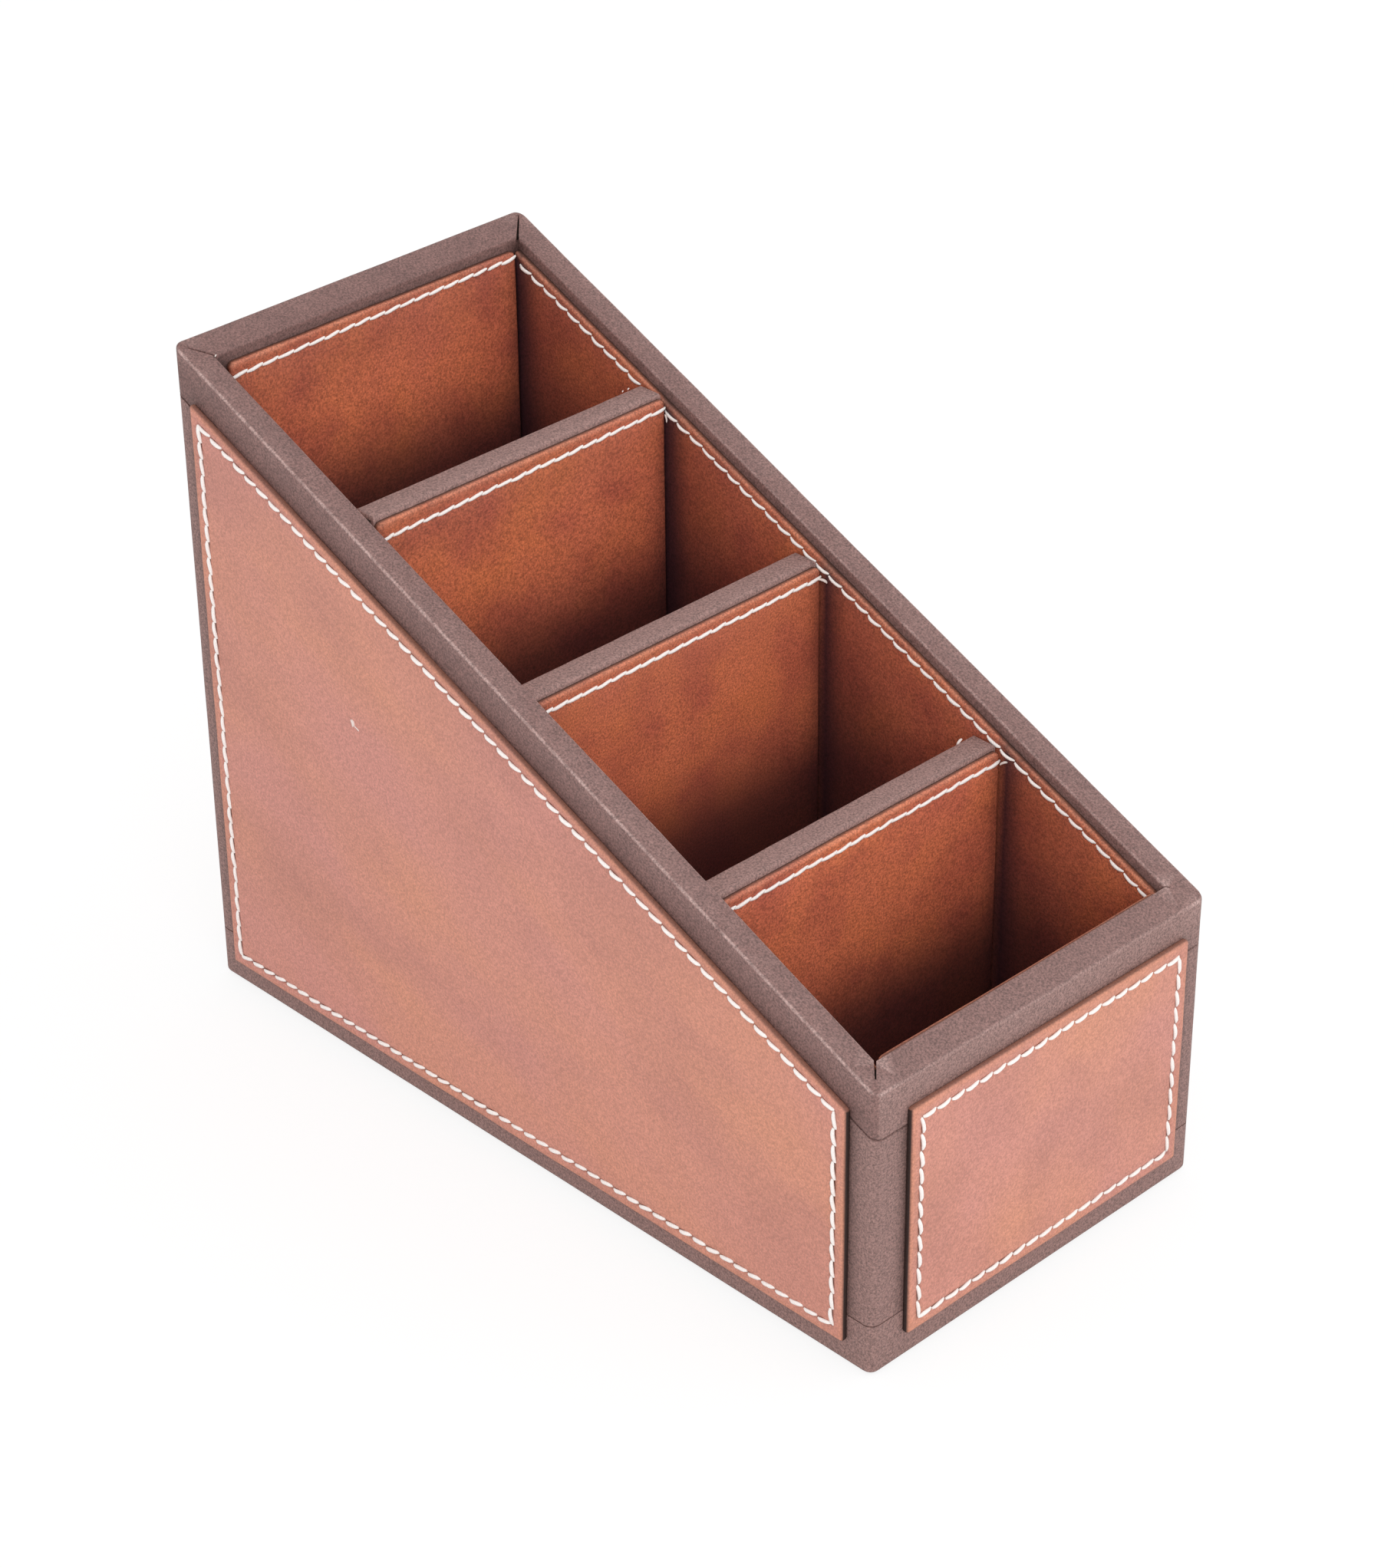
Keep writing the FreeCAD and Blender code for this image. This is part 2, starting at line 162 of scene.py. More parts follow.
class ORGANIZER_PG_sizes(bpy.types.PropertyGroup):
    corner: length("Corner", "Radius of the four upright outer corners", 2.2)
    rim_roll: length("Rim fold", "Radius of the fold along the rim's outer edge", 0.6)
    rim_inner_roll: length("Rim inner fold", "Radius of the fold along the rim's inner edge", 0.5)
    foot_roll: length("Foot fold", "Radius of the fold along the foot", 1.0)
    cap_roll: length("Cap fold", "Radius of the folds along each divider's top", 0.8)
    slit: length("Mitre gap", "Width of the gap at a mitred corner", 0.6)
    panel_roll: length("Panel edge", "Radius of the rolled edges and corners of the outer panels", 0.75)
    panel_back_roll: length("Panel back edge", "Radius of the outer panels' edges beside the wall", 0.35)
    lining_roll: length("Lining edge", "Radius of the rolled edges of the linings", 0.7)
    lining_corner: length("Lining corner", "Radius of the linings' upper corners", 1.3)
    groove: length("Groove depth", "Depth to which the thread pulls the leather in", 0.3)
    groove_reach: length("Groove reach", "Distance from the thread at which the leather is level again", 1.3)
    wave: length("Unevenness", "How far the glued leather strays from flat", 0.25)
    panel_stitch: length("Panel stitch", "Length of one stitch on the outer panels", 3.6)
    upright_stitch: length("Upright stitch", "Length of one stitch along the panels' upright sides", 3.95)
    lining_stitch: length("Lining stitch", "Length of one stitch on the linings", 4.4)
    side_stitch: length("Side stitch", "Length of one stitch on the side linings", 3.95)
    side_bow: length("Side bow", "How far the side linings' stitches sag below their ends", 0.25)
    thread: length("Thread width", "Width of one stitch at its middle", 0.92)
    bow: length("Stitch bow", "How far a stitch's middle lies to the side of its ends", 0.06)
    slant: turn("Stitch slant", "Turn of each stitch against its row", 9)
    lining_slant: turn("Lining slant", "Turn of each stitch on the linings against its row", 6.5)
    lining_thread: length("Lining thread", "Width of one stitch on the linings", 0.82)
    panel_pitch: length("Panel pitch", "Distance from stitch to stitch on the outer panels", 3.9)
    lining_pitch: length("Lining pitch", "Distance from stitch to stitch on the linings", 4.1)


class ORGANIZER_PG_colours(bpy.types.PropertyGroup):
    # The outer panels' tones carry a painted white sheen: paler and pinker than the linings', which are the
    # same leather
    panel: colour("Panel", "Main colour of the outer panels", 203, 139, 126)
    panel_warm: colour("Panel clouds", "Warmer clouds on the outer panels", 209, 143, 118)
    panel_dark: colour("Panel shade", "Darker clouds on the outer panels", 188, 128, 114)
    lining: colour("Lining", "Main colour of the linings", 203, 109, 78)
    lining_warm: colour("Lining clouds", "Warmer clouds on the linings", 208, 114, 72)
    lining_dark: colour("Lining shade", "Darker clouds on the linings", 174, 86, 66)
    lining_depth: colour("Lining depth", "Colour of the linings where little light reaches", 60, 28, 35)
    # Rolled edge: lighter wear on the tan edges, with a painted highlight along their rolls
    edge: colour("Rolled edge", "Colour of the rolled tan edges", 208, 139, 110)
    binding: colour("Binding", "Main colour of the smooth dark leather", 124, 91, 86)
    binding_dark: colour("Binding shade", "Darker clouds on the dark leather", 114, 83, 79)
    # Painted light: the wrap, the foot, the caps and the rim's front take this lighter colour, being faces
    # on which more light falls than on the rim's top
    binding_painted_light: colour("Handled binding", "Colour of the dark leather where hands touch it", 145, 113, 107)
    # Painted shade: the dark leather inside the rim, above the panels and beside them is drawn towards this
    # colour
    binding_painted_shade: colour("Shaded binding", "Colour of the dark leather inside the rim", 62, 40, 36)
    # Fold: lighter wear at the dark leather's sharp folds, with a painted highlight along them
    fold: colour("Fold", "Colour of the dark leather where it is folded sharply", 184, 154, 148)
    thread: colour("Thread", "Colour of the thread", 255, 249, 245)
    loose_thread: colour("Loose thread", "Colour of the worn thread ends", 236, 222, 216)
    seam: colour("Seam", "Colour of the glue and shade along the tan leather's sides", 44, 25, 20)
    # Floor leather: kept very dark as painted shade at the bottoms of the compartments
    floor_leather: colour("Floor leather", "Colour of the leather on the compartment floors", 52, 29, 27)
    board: colour("Board", "Colour of the stiff board inside the leather", 52, 40, 34)
    felt: colour("Felt", "Colour of the sheet under the foot", 52, 40, 38)
    floor: colour("Floor", "Colour of the floor under the organizer", 236, 236, 236)


class ORGANIZER_PG_stage(bpy.types.PropertyGroup):
    azimuth: turn("Azimuth", "Camera's turn about the upright axis", -44.182)
    elevation: turn("Elevation", "Camera's height angle", 31.655)
    roll: turn("Roll", "Camera's turn about its own axis", -0.534)
    aside: length("Aside", "Distance of the camera to the right of the organizer's foot", 1.990)
    above: length("Above", "Distance of the camera above the organizer's foot, in its own upright", 61.157)
    behind: length("Behind", "Distance of the camera from the organizer's foot along its view", 870.737)
    focal_length: FloatProperty(
        name="Focal length", description="Focal length in millimetres",
        default=91.763, subtype="DISTANCE_CAMERA",
    )
    sky: FloatProperty(name="Sky", description="Strength of the light from all round", default=0.88, min=0)
    key: power("Key lamp", "Power of the large lamp, in watts", 6.1)
    fill: power("Fill lamp", "Power of the second lamp, in watts", 2.45)


def sizes():
    return bpy.context.scene.organizer_sizes


def colours():
    return bpy.context.scene.organizer_colours


# Modelling by operators

def select_only(*pieces):
    """Selects these objects and no others. The first one becomes the active one."""
    bpy.ops.object.select_all(action="DESELECT")
    for piece in pieces:
        piece.select_set(True)
    bpy.context.view_layer.objects.active = pieces[0]


def apply_placing():
    """Makes the selected objects' place, turn and scale part of their meshes."""
    bpy.ops.object.transform_apply(location=True, rotation=True, scale=True)


def new_piece(kind, centre, extent):
    """Adds a plane or cube of that extent at that place, and opens it for editing."""
    bpy.ops.object.select_all(action="DESELECT")
    getattr(bpy.ops.mesh, f"primitive_{kind}_add")(size=1, location=centre)
    bpy.context.object.scale = extent
    apply_placing()
    bpy.ops.object.mode_set(mode="EDIT")
    return bpy.context.object


def stop_editing():
    bpy.ops.object.mode_set(mode="OBJECT")


def edited():
    return bmesh.from_edit_mesh(bpy.context.object.data)


def pick(kind, test):
    """Selects the vertices, edges or faces all of whose corner points pass the test."""
    bpy.ops.mesh.select_mode(type=kind)
    bpy.ops.mesh.select_all(action="DESELECT")
    mesh = edited()
    for part in {"VERT": mesh.verts, "EDGE": mesh.edges, "FACE": mesh.faces}[kind]:
        points = [part.co] if kind == "VERT" else [vertex.co for vertex in part.verts]
        if all(test(point) for point in points):
            part.select_set(True)
    bmesh.update_edit_mesh(bpy.context.object.data)


def pick_all():
    bpy.ops.mesh.select_all(action="SELECT")


def divide(spacing, *directions, longer_than=0.02):
    """Divides the long edges that run roughly one way, all into the same number of steps."""
    for direction in directions:
        bpy.ops.mesh.select_mode(type="EDGE")
        bpy.ops.mesh.select_all(action="DESELECT")
        longest = 0
        for edge in edited().edges:
            run = edge.verts[1].co - edge.verts[0].co
            if run.length > longer_than and abs(run.normalized().dot(direction)) > 0.8:
                edge.select_set(True)
                longest = max(longest, run.length)
        bmesh.update_edit_mesh(bpy.context.object.data)
        if longest > spacing:
            bpy.ops.mesh.subdivide(number_cuts=max(1, round(longest / spacing) - 1))


def extrude(z):
    """Pulls the selected faces out along Z, with new sides."""
    bpy.ops.mesh.extrude_region_move(TRANSFORM_OT_translate={"value": (0, 0, z)})


def move(x=0.0, y=0.0, z=0.0):
    bpy.ops.transform.translate(value=(x, y, z))


def face_outwards():
    pick_all()
    bpy.ops.mesh.normals_make_consistent(inside=False)


def roll_edges(radius, segments):
    bpy.ops.mesh.bevel(offset=radius, offset_type="OFFSET", segments=segments, profile=0.5, affect="EDGES")


def inset(thickness, depth=0.0):
    bpy.ops.mesh.inset(thickness=thickness, depth=depth, use_even_offset=True)


def cut_across(point, normal):
    pick_all()
    bpy.ops.mesh.bisect(plane_co=point, plane_no=normal)


def modify(piece, kind, **settings):
    """Adds a modifier to the piece and applies it."""
    select_only(piece)
    bpy.ops.object.modifier_add(type=kind)
    modifier = piece.modifiers[-1]
    for name, value in settings.items():
        setattr(modifier, name, value)
    bpy.ops.object.modifier_apply(modifier=modifier.name)


def clouds(name, size, coloured):
    texture = bpy.data.textures.get(name) or bpy.data.textures.new(name, "CLOUDS")
    texture.noise_scale = size
    texture.noise_depth = 2
    texture.cloud_type = "COLOR" if coloured else "GRAYSCALE"
    return texture


def make_uneven(piece, strength, size, direction="NORMAL"):
    """Moves the surface in and out by soft clouds."""
    texture = clouds(f"unevenness {size * 1000:g}", size, direction == "RGB_TO_XYZ")
    modify(
        piece, "DISPLACE",
        texture=texture, texture_coords="LOCAL", direction=direction, strength=strength, mid_level=0.5,
    )


def set_on_wall(piece, wall):
    """Turns a piece drawn flat, X to the right, Y up and Z outwards, onto an upright wall."""
    select_only(piece)
    turned = Matrix((wall.across, UP, wall.outward)).transposed().to_4x4()
    piece.matrix_world = Matrix.Translation(wall.origin) @ turned
    apply_placing()


def mark(piece, name, value):
    """Gives each vertex the number that value() says for its place."""
    layer = piece.data.attributes.new(name, "FLOAT", "POINT")
    for vertex, cell in zip(piece.data.vertices, layer.data):
        cell.value = value(vertex.co)


def finish_piece(piece, name, material, replaced, smooth_angle=40):
    """Names the piece, smooths it, gives it its material and ties it to the frame."""
    select_only(piece)
    bpy.ops.object.shade_smooth_by_angle(angle=math.radians(smooth_angle))
    piece.name = name
    piece.data.name = name
    piece.data.materials.clear()
    piece.data.materials.append(material)
    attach(piece, BODY)
    if replaced:
        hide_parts(*replaced)


# Materials, with the kinds of their groups' sockets

VECTOR = "NodeSocketVector"
NUMBER = "NodeSocketFloat"
COLOUR = "NodeSocketColor"


def add_node(tree, kind, inputs=None, **settings):
    """Adds a node; each input is given a plain value or linked to another node's output."""
    node = tree.nodes.new(kind)
    for name, value in settings.items():
        setattr(node, name, value)
    for name, value in (inputs or {}).items():
        if isinstance(value, bpy.types.NodeSocket):
            tree.links.new(value, node.inputs[name])
        else:
            node.inputs[name].default_value = value
    return node


def calculate(tree, operation, first, second=0.0):
    return add_node(tree, "ShaderNodeMath", {0: first, 1: second}, operation=operation).outputs[0]


def spread(tree, value, low_end, high_end, new_low=0.0, new_high=1.0):
    """Maps a value from one range to another, and holds it there."""
    old_range = {"From Min": low_end, "From Max": high_end}
    new_range = {"To Min": new_low, "To Max": new_high}
    inputs = {"Value": value, **old_range, **new_range}
    return add_node(tree, "ShaderNodeMapRange", inputs).outputs["Result"]


def blend(tree, amount, first, second, mode="MIX"):
    """Mixes two colours. A mix node's sockets for them are its inputs 6 and 7 and its output 2."""
    inputs = {0: amount, 6: first, 7: second}
    return add_node(tree, "ShaderNodeMix", inputs, data_type="RGBA", blend_type=mode).outputs[2]


def noise(tree, vector, cell, detail=2.0, roughness=0.5):
    """Soft noise whose blobs are about the cell's size."""
    scale = calculate(tree, "DIVIDE", 1.0, cell) if isinstance(cell, bpy.types.NodeSocket) else 1 / cell
    inputs = {"Vector": vector, "Scale": scale, "Detail": detail, "Roughness": roughness}
    return add_node(tree, "ShaderNodeTexNoise", inputs).outputs["Fac"]


def new_group(name, inputs, label, kind):
    """Opens a node group with one output. An input's third value, where it has one, is its default."""
    tree = bpy.data.node_groups.new(name, "ShaderNodeTree")
    for title, sort, *default in inputs:
        socket = tree.interface.new_socket(title, in_out="INPUT", socket_type=sort)
        if default:
            socket.default_value = default[0]
    tree.interface.new_socket(label, in_out="OUTPUT", socket_type=kind)
    out = tree.nodes.new("NodeGroupOutput").inputs[label]
    return tree, tree.nodes.new("NodeGroupInput").outputs, out


def grain_group():
    """Fine pebbles and creases of leather, as a height."""
    inputs = [("Vector", VECTOR), ("Pebble Size", NUMBER, 0.0005)]
    tree, given, out = new_group("leather grain", inputs, "Height", NUMBER)
    place, pebble = given["Vector"], given["Pebble Size"]
    scale = calculate(tree, "DIVIDE", 1.0, pebble)
    pebbles = add_node(tree, "ShaderNodeTexVoronoi", {"Vector": place, "Scale": scale}).outputs["Distance"]
    fine = noise(tree, place, calculate(tree, "MULTIPLY", pebble, 0.6), 3.0, 0.6)
    broad = noise(tree, place, calculate(tree, "MULTIPLY", pebble, 9.0), 2.0, 0.5)
    height = calculate(tree, "SUBTRACT", fine, pebbles)
    tree.links.new(calculate(tree, "ADD", height, calculate(tree, "MULTIPLY", broad, 0.4)), out)
    return tree


def tone_group():
    """Soft clouds of three tones."""
    tones = [(name, COLOUR) for name in ("Main", "Warm", "Dark")]
    inputs = [("Vector", VECTOR), ("Cloud Size", NUMBER, 0.02), *tones]
    tree, given, out = new_group("cloudy tone", inputs, "Color", COLOUR)
    place, cloud = given["Vector"], given["Cloud Size"]
    elsewhere = {0: place, 1: (0.31, 0.17, 0.43)}
    moved = add_node(tree, "ShaderNodeVectorMath", elsewhere, operation="ADD").outputs[0]
    patch = calculate(tree, "MULTIPLY", cloud, 0.7)
    warm = spread(tree, noise(tree, place, cloud, 2.0), 0.35, 0.7)
    dark = spread(tree, noise(tree, moved, patch, 3.0), 0.45, 0.8)
    tone = blend(tree, warm, given["Main"], given["Warm"])
    tree.links.new(blend(tree, dark, tone, given["Dark"]), out)
    return tree


def speckle_group():
    """Fine lighter and darker flecks on a colour."""
    inputs = [
        ("Vector", VECTOR), ("Color", COLOUR),
        ("Strength", NUMBER, 0.5), ("Fleck Size", NUMBER, 0.00045),
    ]
    tree, given, out = new_group("fine speckle", inputs, "Color", COLOUR)
    fleck = spread(tree, noise(tree, given["Vector"], given["Fleck Size"], 1.5, 0.7), 0.3, 0.7)
    fleck = calculate(tree, "SUBTRACT", fleck, 0.5)
    fleck = calculate(tree, "ADD", calculate(tree, "MULTIPLY", fleck, given["Strength"]), 1.0)
    grey = {"Red": fleck, "Green": fleck, "Blue": fleck}
    shade = add_node(tree, "ShaderNodeCombineColor", grey).outputs[0]
    tree.links.new(blend(tree, 1.0, given["Color"], shade, "MULTIPLY"), out)
    return tree


def wear_and_highlight_group():
    """Another colour where the mask of wear and painted highlight is high, broken up along the edge."""
    inputs = [
        ("Vector", VECTOR), ("Color", COLOUR), ("Worn", COLOUR),
        ("Wear", NUMBER, 0.0), ("Patch Size", NUMBER, 0.004),
    ]
    tree, given, out = new_group("edge wear and highlight", inputs, "Color", COLOUR)
    patches = spread(tree, noise(tree, given["Vector"], given["Patch Size"], 3.0, 0.6), 0.3, 0.6, 0.35, 1.0)
    amount = calculate(tree, "MULTIPLY", given["Wear"], patches)
    tree.links.new(blend(tree, amount, given["Color"], given["Worn"]), out)
    return tree


def use_group(tree, name, build, inputs):
    """Adds a node that uses the named group, which is built when it is first asked for."""
    group = bpy.data.node_groups.get(name) or build()
    return add_node(tree, "ShaderNodeGroup", inputs, node_tree=group).outputs[0]


def new_material(name, roughness, specular=0.5):
    material = bpy.data.materials.new(name)
    material.use_nodes = True
    tree = material.node_tree
    shader = tree.nodes["Principled BSDF"]
    shader.inputs["Roughness"].default_value = roughness
    shader.inputs["Specular IOR Level"].default_value = specular
    place = add_node(tree, "ShaderNodeTexCoord").outputs["Object"]
    return material, tree, shader, place


def attribute(tree, name):
    return add_node(tree, "ShaderNodeAttribute", attribute_name=name).outputs["Fac"]


def bump(tree, shader, height, strength, distance):
    inputs = {"Height": height, "Strength": strength, "Distance": distance}
    tree.links.new(add_node(tree, "ShaderNodeBump", inputs).outputs["Normal"], shader.inputs["Normal"])


def leather(name, tones, worn, depth, pale, cloud, pebble, roughness, speckle, run=1.0):
    """Dyed leather: clouds of tone, fine grain, other colours where the piece's masks are high: painted
    light, painted shade, lighter wear with a painted highlight, and glue with painted shade.

    The tones are the main, the warmer and the darker one. The clouds are as many times longer
    along the rim's slope than across it as run says.
    """
    found = bpy.data.materials.get(name)
    if found:
        return found
    material, tree, shader, place = new_material(name, roughness)
    turned = {"Vector": place, "Rotation": (SLOPE_ANGLE, 0, 0), "Scale": (1, run, 1)}
    along_slope = add_node(tree, "ShaderNodeMapping", turned, vector_type="TEXTURE").outputs["Vector"]
    inputs = {"Vector": along_slope, "Cloud Size": cloud, **dict(zip(("Main", "Warm", "Dark"), tones))}
    tone = use_group(tree, "cloudy tone", tone_group, inputs)
    # Painted light where the pale mask is high, painted shade where the depth mask is high
    tone = blend(tree, attribute(tree, "pale"), tone, pale)
    tone = blend(tree, attribute(tree, "depth"), tone, depth)
    # Lighter wear and a painted highlight along the edges and folds
    inputs = {"Vector": place, "Color": tone, "Worn": worn, "Wear": attribute(tree, "edge")}
    tone = use_group(tree, "edge wear and highlight", wear_and_highlight_group, inputs)
    inputs = {"Vector": place, "Color": tone, "Strength": speckle}
    tone = use_group(tree, "fine speckle", speckle_group, inputs)
    # Dark glue and painted shade along the tan leather's sides
    tone = blend(tree, attribute(tree, "seam"), tone, colours().seam)
    tree.links.new(tone, shader.inputs["Base Color"])
    height = use_group(tree, "leather grain", grain_group, {"Vector": place, "Pebble Size": pebble})
    bump(tree, shader, height, 0.35, 0.00012)
    return material


# The panel tones carry a painted white sheen over the linings' leather
def panel_leather():
    c = colours()
    return leather(
        "tan panel leather", (c.panel, c.panel_warm, c.panel_dark),
        worn=c.edge, depth=c.panel_dark, pale=c.panel,
        cloud=0.028, pebble=0.0005, roughness=0.62, speckle=0.4, run=2.2,
    )


def lining_leather():
    c = colours()
    return leather(
        "tan lining leather", (c.lining, c.lining_warm, c.lining_dark),
        worn=c.edge, depth=c.lining_depth, pale=c.lining,
        cloud=0.02, pebble=0.0005, roughness=0.6, speckle=0.8,
    )


def binding_leather():
    c = colours()
    return leather(
        "smooth dark leather", (c.binding, c.binding, c.binding_dark),
        worn=c.fold, depth=c.binding_painted_shade, pale=c.binding_painted_light,
        cloud=0.009, pebble=0.0004, roughness=0.58, speckle=0.9,
    )


# Very dark: painted shade at the bottoms of the compartments
def plain_leather():
    tone = colours().floor_leather
    return leather(
        "floor leather", (tone, tone, tone),
        worn=tone, depth=tone, pale=tone,
        cloud=0.01, pebble=0.0005, roughness=0.7, speckle=0.2,
    )


def fibrous(name, tone, dullness, surface, fibre, relief):
    """Fibres of one tone and a duller one.

    The surface is its roughness and specular level, the fibre its noise's size, detail and
    roughness, and the relief its bumps' strength and height.
    """
    found = bpy.data.materials.get(name)
    if found:
        return found
    material, tree, shader, place = new_material(name, *surface)
    fibres = noise(tree, place, *fibre)
    dull = [value * dullness for value in tone[:3]] + [1]
    tree.links.new(blend(tree, spread(tree, fibres, 0.35, 0.65), dull, tone), shader.inputs["Base Color"])
    bump(tree, shader, fibres, *relief)
    return material


def thread_material(name, tone):
    return fibrous(name, tone, 0.88, (0.75, 0.3), (0.0003, 3.0, 0.6), (0.4, 0.0001))


def matted_material(name, tone, fibre_size, roughness):
    """Board or felt."""
    return fibrous(name, tone, 0.7, (roughness, 0.2), (fibre_size, 4.0, 0.65), (0.6, 0.0002))


# Bindings

def rounded_plan(margin, corner, height):
    """Opens a flat face over the plan, drawn in by the margin, with round corners."""
    extent = (2 * (HALF_WIDTH - margin), 2 * (HALF_LENGTH - margin), 1)
    piece = new_piece("plane", (0, 0, height), extent)
    bpy.ops.mesh.bevel(offset=corner, offset_type="OFFSET", segments=8, profile=0.5, affect="VERTICES")
    return piece


def ring_over_plan(margin, corner, hole_x, hole_y, height):
    """Opens a flat ring over the plan, with round outer corners and a sharp-cornered hole."""
    piece = rounded_plan(margin, corner, height)
    pick_all()
    bpy.ops.mesh.delete(type="ONLY_FACE")
    pick_all()
    lift = HALF_WIDTH
    bpy.ops.mesh.extrude_edges_move(TRANSFORM_OT_translate={"value": (0, 0, lift)})
    for side in (-1, 1):
        for end in (-1, 1):
            pick("VERT", lambda p: p.z > height + lift / 2 and p.x * side > 0 and p.y * end > 0)
            inner_corner = (side * hole_x, end * hole_y, height)
            bpy.ops.transform.resize(value=(0, 0, 0), center_override=inner_corner)
    pick_all()
    bpy.ops.mesh.remove_doubles(threshold=SAME)
    bpy.ops.mesh.select_mode(type="FACE")
    bpy.ops.mesh.select_all(action="DESELECT")
    for face in edited().faces:
        face.select_set(len(face.verts) == 3)
    bmesh.update_edit_mesh(piece.data)
    bpy.ops.mesh.dissolve_faces()
    return piece


def lean_on_rim(drop):
    """Turns everything in the level plane onto a plane below the rim's, upright above where it was."""
    pick_all()
    bpy.ops.transform.resize(value=(1, SLOPE_STRETCH, 1), center_override=(0, 0, 0))
    bpy.ops.transform.rotate(value=-SLOPE_ANGLE, orient_axis="X", center_override=(0, 0, 0))
    move(z=rim_height(0, drop))


def extrude_all(z):
    """Makes a closed solid of the open face or ring."""
    pick_all()
    extrude(z)
    face_outwards()


def carve(piece, cutter):
    """Takes the cutter's solid out of the piece."""
    modify(piece, "BOOLEAN", object=cutter, operation="DIFFERENCE", solver="FAST")
    bpy.data.objects.remove(cutter)


def open_mitre(piece, side, end, reach):
    """Cuts a narrow gap through the top leather, from an inner corner of the rim outwards."""
    fall = reach * SLOPE if end < 0 else 0
    bottom = rim_height(end * OPENING_Y) - MITRE_DEPTH - fall
    middle = (reach / 2 - LEATHER, 0, bottom + HALF_WIDTH / 2)
    cutter = new_piece("cube", middle, (reach + 2 * LEATHER, sizes().slit, HALF_WIDTH))
    pick("VERT", lambda p: p.x > 0)
    bpy.ops.transform.resize(value=(1, 0.5, 1), center_override=(0, 0, 0))
    stop_editing()
    cutter.rotation_euler.z = math.atan2(end, side)
    cutter.location = (side * OPENING_X, end * OPENING_Y, 0)
    apply_placing()
    carve(piece, cutter)


def rim_distance(point):
    """How far a point lies square below the rim's plane."""
    return (rim_height(point.y) - point.z) / SLOPE_STRETCH


def on_rim(point):
    """Whether a point lies in the rim's plane."""
    return abs(rim_distance(point)) < NEAR


def fade(value, full, none):
    """1 where the value is full or beyond, 0 where it is none or beyond, even in between."""
    return min(1, max(0, (none - value) / (none - full)))


def ease(value, none, full):
    """0 up to none, 1 from full on, softly rising in between."""
    share = fade(value, full, none)
    return share * share * (3 - 2 * share)


def outside_opening(p):
    """Whether a point lies beyond the rim's opening, seen from above."""
    return abs(p.x) > OPENING_X + NEAR or abs(p.y) > OPENING_Y + NEAR


def on_side_wall(p):
    """Whether a point of the outer leather lies on a side wall, not on the front or the back."""
    return abs(p.x) > HALF_WIDTH - sizes().corner / 2


def beyond_panel(p):
    """How far a point of the outer leather lies past the upright ends of its wall's panel."""
    if on_side_wall(p):
        return max(low("left_panel").y - p.y, p.y - high("left_panel").y)
    return max(low("front_panel").x - p.x, p.x - high("front_panel").x)


